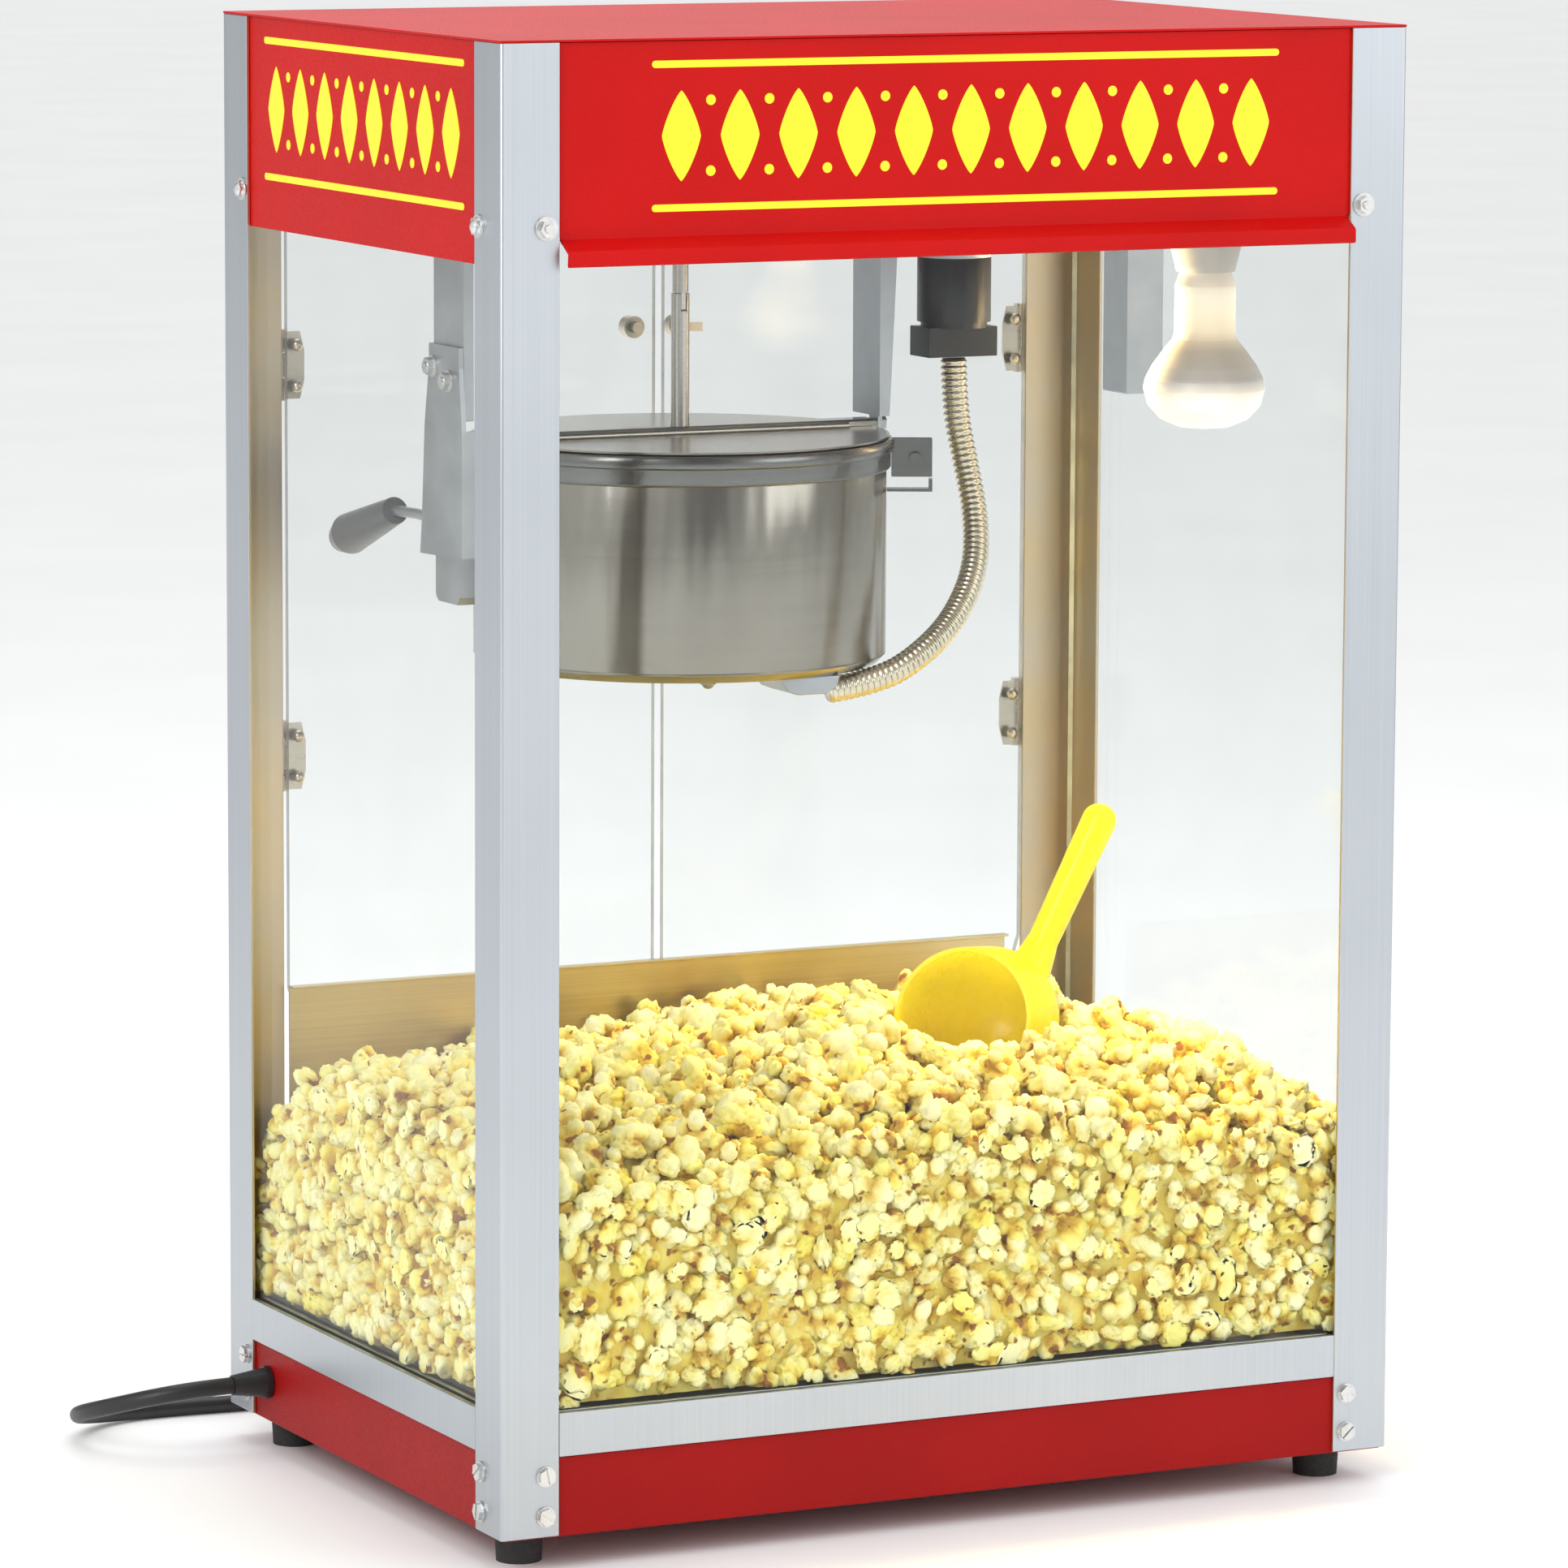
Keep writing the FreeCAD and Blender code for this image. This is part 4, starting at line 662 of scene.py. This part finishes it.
def rot_matrix(r):
    q = r.normal(size=4)
    q /= np.linalg.norm(q)
    w, x, y, z = q
    return np.array([[1 - 2 * (y * y + z * z), 2 * (x * y - z * w), 2 * (x * z + y * w)], [2 * (x * y + z * w), 1 - 2 * (x * x + z * z), 2 * (y * z - x * w)], [2 * (x * z - y * w), 2 * (y * z + x * w), 1 - 2 * (x * x + y * y)]])


# popcorn material: cream florets, butter-yellow folds that darken to brown deep in the creases (part real colour, part
# painted shade), a few brown hulls
mt, nt, p = new_mat("m_popcorn")
at = nt.nodes.new("ShaderNodeAttribute")
at.attribute_name = "floret"
tone = nt.nodes.new("ShaderNodeAttribute")
tone.attribute_name = "tone"
v = coords(nt)
n1 = noise(nt, v, 90.0, 3.0, 0.6)
s1 = nt.nodes.new("ShaderNodeMath")
s1.operation = "MULTIPLY_ADD"
s1.inputs[1].default_value = 0.55
nt.links.new(at.outputs["Fac"], s1.inputs[0])
s2 = nt.nodes.new("ShaderNodeMath")
s2.operation = "MULTIPLY"
s2.inputs[1].default_value = 0.45
nt.links.new(n1, s2.inputs[0])
nt.links.new(s2.outputs[0], s1.inputs[2])
# painted shade: the dark brown low end of this ramp, reached deep in the folds, stands in for the shade between lobes
body_c = ramp(nt, s1.outputs[0], [(0.16, (0.42, 0.21, 0.03)), (0.28, (0.76, 0.53, 0.10)), (0.42, (0.89, 0.78, 0.28)), (0.66, (0.93, 0.89, 0.56))])
tint = ramp(nt, tone.outputs["Fac"], [(0.0, (1.0, 1.0, 0.96)), (0.5, (1.0, 0.99, 0.74)), (1.0, (1.0, 0.95, 0.36))])
mul = nt.nodes.new("ShaderNodeMix")
mul.data_type = "RGBA"
mul.blend_type = "MULTIPLY"
mul.inputs[0].default_value = 1.0
nt.links.new(body_c, mul.inputs[6])
nt.links.new(tint, mul.inputs[7])
hn = noise(nt, v, 150.0, 1.0, 0.4)
inv = nt.nodes.new("ShaderNodeMath")
inv.operation = "MULTIPLY_ADD"
inv.inputs[1].default_value = -0.22
nt.links.new(at.outputs["Fac"], inv.inputs[0])
nt.links.new(hn, inv.inputs[2])
hull = ramp(nt, inv.outputs[0], [(0.58, 0.0), (0.64, 1.0)])
mh = nt.nodes.new("ShaderNodeMix")
mh.data_type = "RGBA"
nt.links.new(hull, mh.inputs[0])
nt.links.new(mul.outputs[2], mh.inputs[6])
mh.inputs[7].default_value = (0.30, 0.12, 0.02, 1)
nt.links.new(mh.outputs[2], p.inputs["Base Color"])
nt.links.new(ramp(nt, n1, [(0.3, 0.5), (0.7, 0.72)]), p.inputs["Roughness"])
p.inputs["Subsurface Weight"].default_value = 0.0
p.inputs["Specular IOR Level"].default_value = 0.35
bump(nt, p, noise(nt, v, 700.0, 3.0, 0.6), 0.35, 0.0006)
M["popcorn"] = mt

LIM = np.array(((-247.3, -171.2, 80.9), (247.3, 168.6, 400.0)))
chunks = 7
heap_objs = []
idx_parts = np.array_split(np.arange(len(P)), chunks)
for ci, idx in enumerate(idx_parts):
    vs, fs, fl, tn = [], [], [], []
    base = 0
    for i in idx:
        co, fc, a = VAR[int(rng.integers(len(VAR)))]
        q = (co * rad[i] * rng.uniform(0.70, 1.24, 3)) @ rot_matrix(rng).T + P[i]
        q = np.clip(q, LIM[0] + rng.uniform(0, 0.25), LIM[1] - rng.uniform(0, 0.25))
        vs.append(q)
        fs.append(fc + base)
        fl.append(a)
        tn.append(np.full(len(q), rng.beta(1.3, 1.8)))
        base += len(q)
    V_, F_a = np.concatenate(vs) / 1000.0, np.concatenate(fs)
    me = bpy.data.meshes.new("popcorn_%d" % ci)
    me.vertices.add(len(V_))
    me.vertices.foreach_set("co", V_.astype(np.float32).ravel())
    me.loops.add(len(F_a) * 3)
    me.loops.foreach_set("vertex_index", F_a.astype(np.int32).ravel())
    me.polygons.add(len(F_a))
    me.polygons.foreach_set("loop_start", (np.arange(len(F_a)) * 3).astype(np.int32))
    me.update(calc_edges=True)
    at_ = me.attributes.new("floret", "FLOAT", "POINT")
    at_.data.foreach_set("value", np.concatenate(fl).astype(np.float32))
    at_ = me.attributes.new("tone", "FLOAT", "POINT")
    at_.data.foreach_set("value", np.concatenate(tn).astype(np.float32))
    me.shade_smooth()
    ob = link("popcorn_%d" % ci, me, mt, "cabinet")
    heap_objs.append(ob)
    print("popcorn", ci, len(idx), "kernels", len(F_a), "faces")

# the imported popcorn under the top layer
nx, ny = 82, 56
X = np.linspace(-240.5, 240.5, nx)
Y = np.linspace(-164.5, 162.0, ny)
XX, YY = np.meshgrid(X, Y, indexing="ij")
ZZ = height(XX, YY) - 9.0 + rng.uniform(-2.5, 2.5, XX.shape)
pts = np.c_[XX.ravel(), YY.ravel(), ZZ.ravel()]
for _ in range(80):
    bad = np.min([seg_dist(pts - HA * s, BO, BD, 40.0) for s in (0.0, 15.0, 30.0, 50.0)], axis=0) < 41.0
    if not bad.any():
        break
    pts[bad, 2] -= 2.0
ZZ = pts[:, 2].reshape(nx, ny)
verts = [tuple(q / 1000.0) for q in np.c_[XX.ravel(), YY.ravel(), ZZ.ravel()]]
fcs = [(i * ny + j, (i + 1) * ny + j, (i + 1) * ny + j + 1, i * ny + j + 1) for i in range(nx - 1) for j in range(ny - 1)]
rim = [i * ny for i in range(nx)] + [(nx - 1) * ny + j for j in range(1, ny)] + [i * ny + ny - 1 for i in range(nx - 2, -1, -1)] + [j for j in range(ny - 2, 0, -1)]
levels = 12
rings = [rim]
zb = 0.0815
for L in range(1, levels + 1):
    ring = []
    for k_ in rim:
        x, y, z = verts[k_]
        j = rng.uniform(-1.6, 1.6) / 1000.0
        ring.append(len(verts))
        verts.append((x - math.copysign(abs(j), x) if abs(x) > 0.2400 else x, y - math.copysign(abs(j), y) if abs(y) > 0.1615 else y, z + (zb - z) * L / levels))
    rings.append(ring)
for a_, b_ in zip(rings[:-1], rings[1:]):
    n_ = len(a_)
    for i in range(n_):
        j = (i + 1) % n_
        fcs.append((a_[j], a_[i], b_[i], b_[j]))
fcs.append(tuple(rings[-1]))
me = bpy.data.meshes.new("popcorn_core")
me.from_pydata(verts, [], fcs)
bm = bmesh.new()
bm.from_mesh(me)
bmesh.ops.recalc_face_normals(bm, faces=bm.faces)
bm.to_mesh(me)
bm.free()
# painted shade: low floret values give this under-layer the darker fold colours, standing in for the shade in the gaps
# between the top kernels
at_ = me.attributes.new("floret", "FLOAT", "POINT")
at_.data.foreach_set("value", rng.uniform(0.12, 0.40, len(verts)).astype(np.float32))
at_ = me.attributes.new("tone", "FLOAT", "POINT")
at_.data.foreach_set("value", rng.uniform(0.3, 0.9, len(verts)).astype(np.float32))
core = link("popcorn_core", me, mt, "cabinet")
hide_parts("popcorn_heap")
for ob in heap_objs:
    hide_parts("popcorn_heap")

# ---------------------------------------------------------------- floor, light and background
fm, fnt, fp = new_mat("m_floor")
fp.inputs["Roughness"].default_value = 0.55
fnt.links.new(ramp(fnt, noise(fnt, coords(fnt), 3.0, 2.0), [(0.3, (0.90, 0.90, 0.90)), (0.7, (0.93, 0.93, 0.93))]), fp.inputs["Base Color"])
me = bpy.data.meshes.new("floor")
me.from_pydata([(-30, -30, 0), (30, -30, 0), (30, 30, 0), (-30, 30, 0)], [], [(0, 1, 2, 3)])
me.materials.append(fm)
floor = bpy.data.objects.new("floor", me)
coll.objects.link(floor)

world = bpy.data.worlds.new("studio")
scene.world = world
world.use_nodes = True
wn = world.node_tree
bg = wn.nodes["Background"]
wt = wn.nodes.new("ShaderNodeTexCoord")
ws = wn.nodes.new("ShaderNodeSeparateXYZ")
wn.links.new(wt.outputs["Generated"], ws.inputs[0])
wr = wn.nodes.new("ShaderNodeMapRange")
wr.inputs["From Min"].default_value = -1.0
wr.inputs["From Max"].default_value = 1.0
wn.links.new(ws.outputs[0], wr.inputs["Value"])
side = ramp(wn, wr.outputs["Result"], [(0.0, 1.0), (0.18, 0.95), (0.34, 0.30), (0.46, 0.26), (0.58, 0.85), (0.70, 1.0), (0.84, 0.35), (1.0, 0.75)])
lp = wn.nodes.new("ShaderNodeLightPath")
mixc = wn.nodes.new("ShaderNodeMix")
mixc.data_type = "RGBA"
wn.links.new(lp.outputs["Is Glossy Ray"], mixc.inputs[0])
mixc.inputs[6].default_value = (0.93, 0.935, 0.94, 1)
wn.links.new(side, mixc.inputs[7])
wn.links.new(mixc.outputs[2], bg.inputs["Color"])
bg.inputs["Strength"].default_value = 1.0


def area(name, loc, target, size, power, color=(1, 1, 1)):
    ld = bpy.data.lights.new(name, "AREA")
    ld.shape = "RECTANGLE"
    ld.size, ld.size_y = size
    ld.energy = power
    ld.color = color
    ob = bpy.data.objects.new(name, ld)
    coll.objects.link(ob)
    ob.location = loc
    ob.rotation_euler = (Vector(target) - Vector(loc)).to_track_quat("-Z", "Y").to_euler()
    return ob


area("key", (-2.6, -1.6, 2.2), (0, 0, 0.35), (1.6, 1.6), 46.0)
area("fill", (2.0, -3.2, 1.6), (0, 0, 0.35), (2.0, 1.6), 26.0)
area("top", (0.2, 0.4, 3.0), (0, 0, 0.3), (2.2, 2.2), 30.0)
area("lamp_glow", (0.198, -0.070, 0.5420), (0.150, -0.02, 0.2), (0.05, 0.05), 2.1, (1.0, 0.76, 0.38))
lg = bpy.data.lights.new("lamp_side", "POINT")
lg.energy = 1.5
lg.color = (1.0, 0.76, 0.40)
lg.shadow_soft_size = 0.02
lo = bpy.data.objects.new("lamp_side", lg)
coll.objects.link(lo)
lo.location = (0.160, -0.030, 0.585)
for n in ("lamp_side", "lamp_glow"):
    bpy.data.objects[n].visible_glossy = False
    bpy.data.objects[n].visible_transmission = False
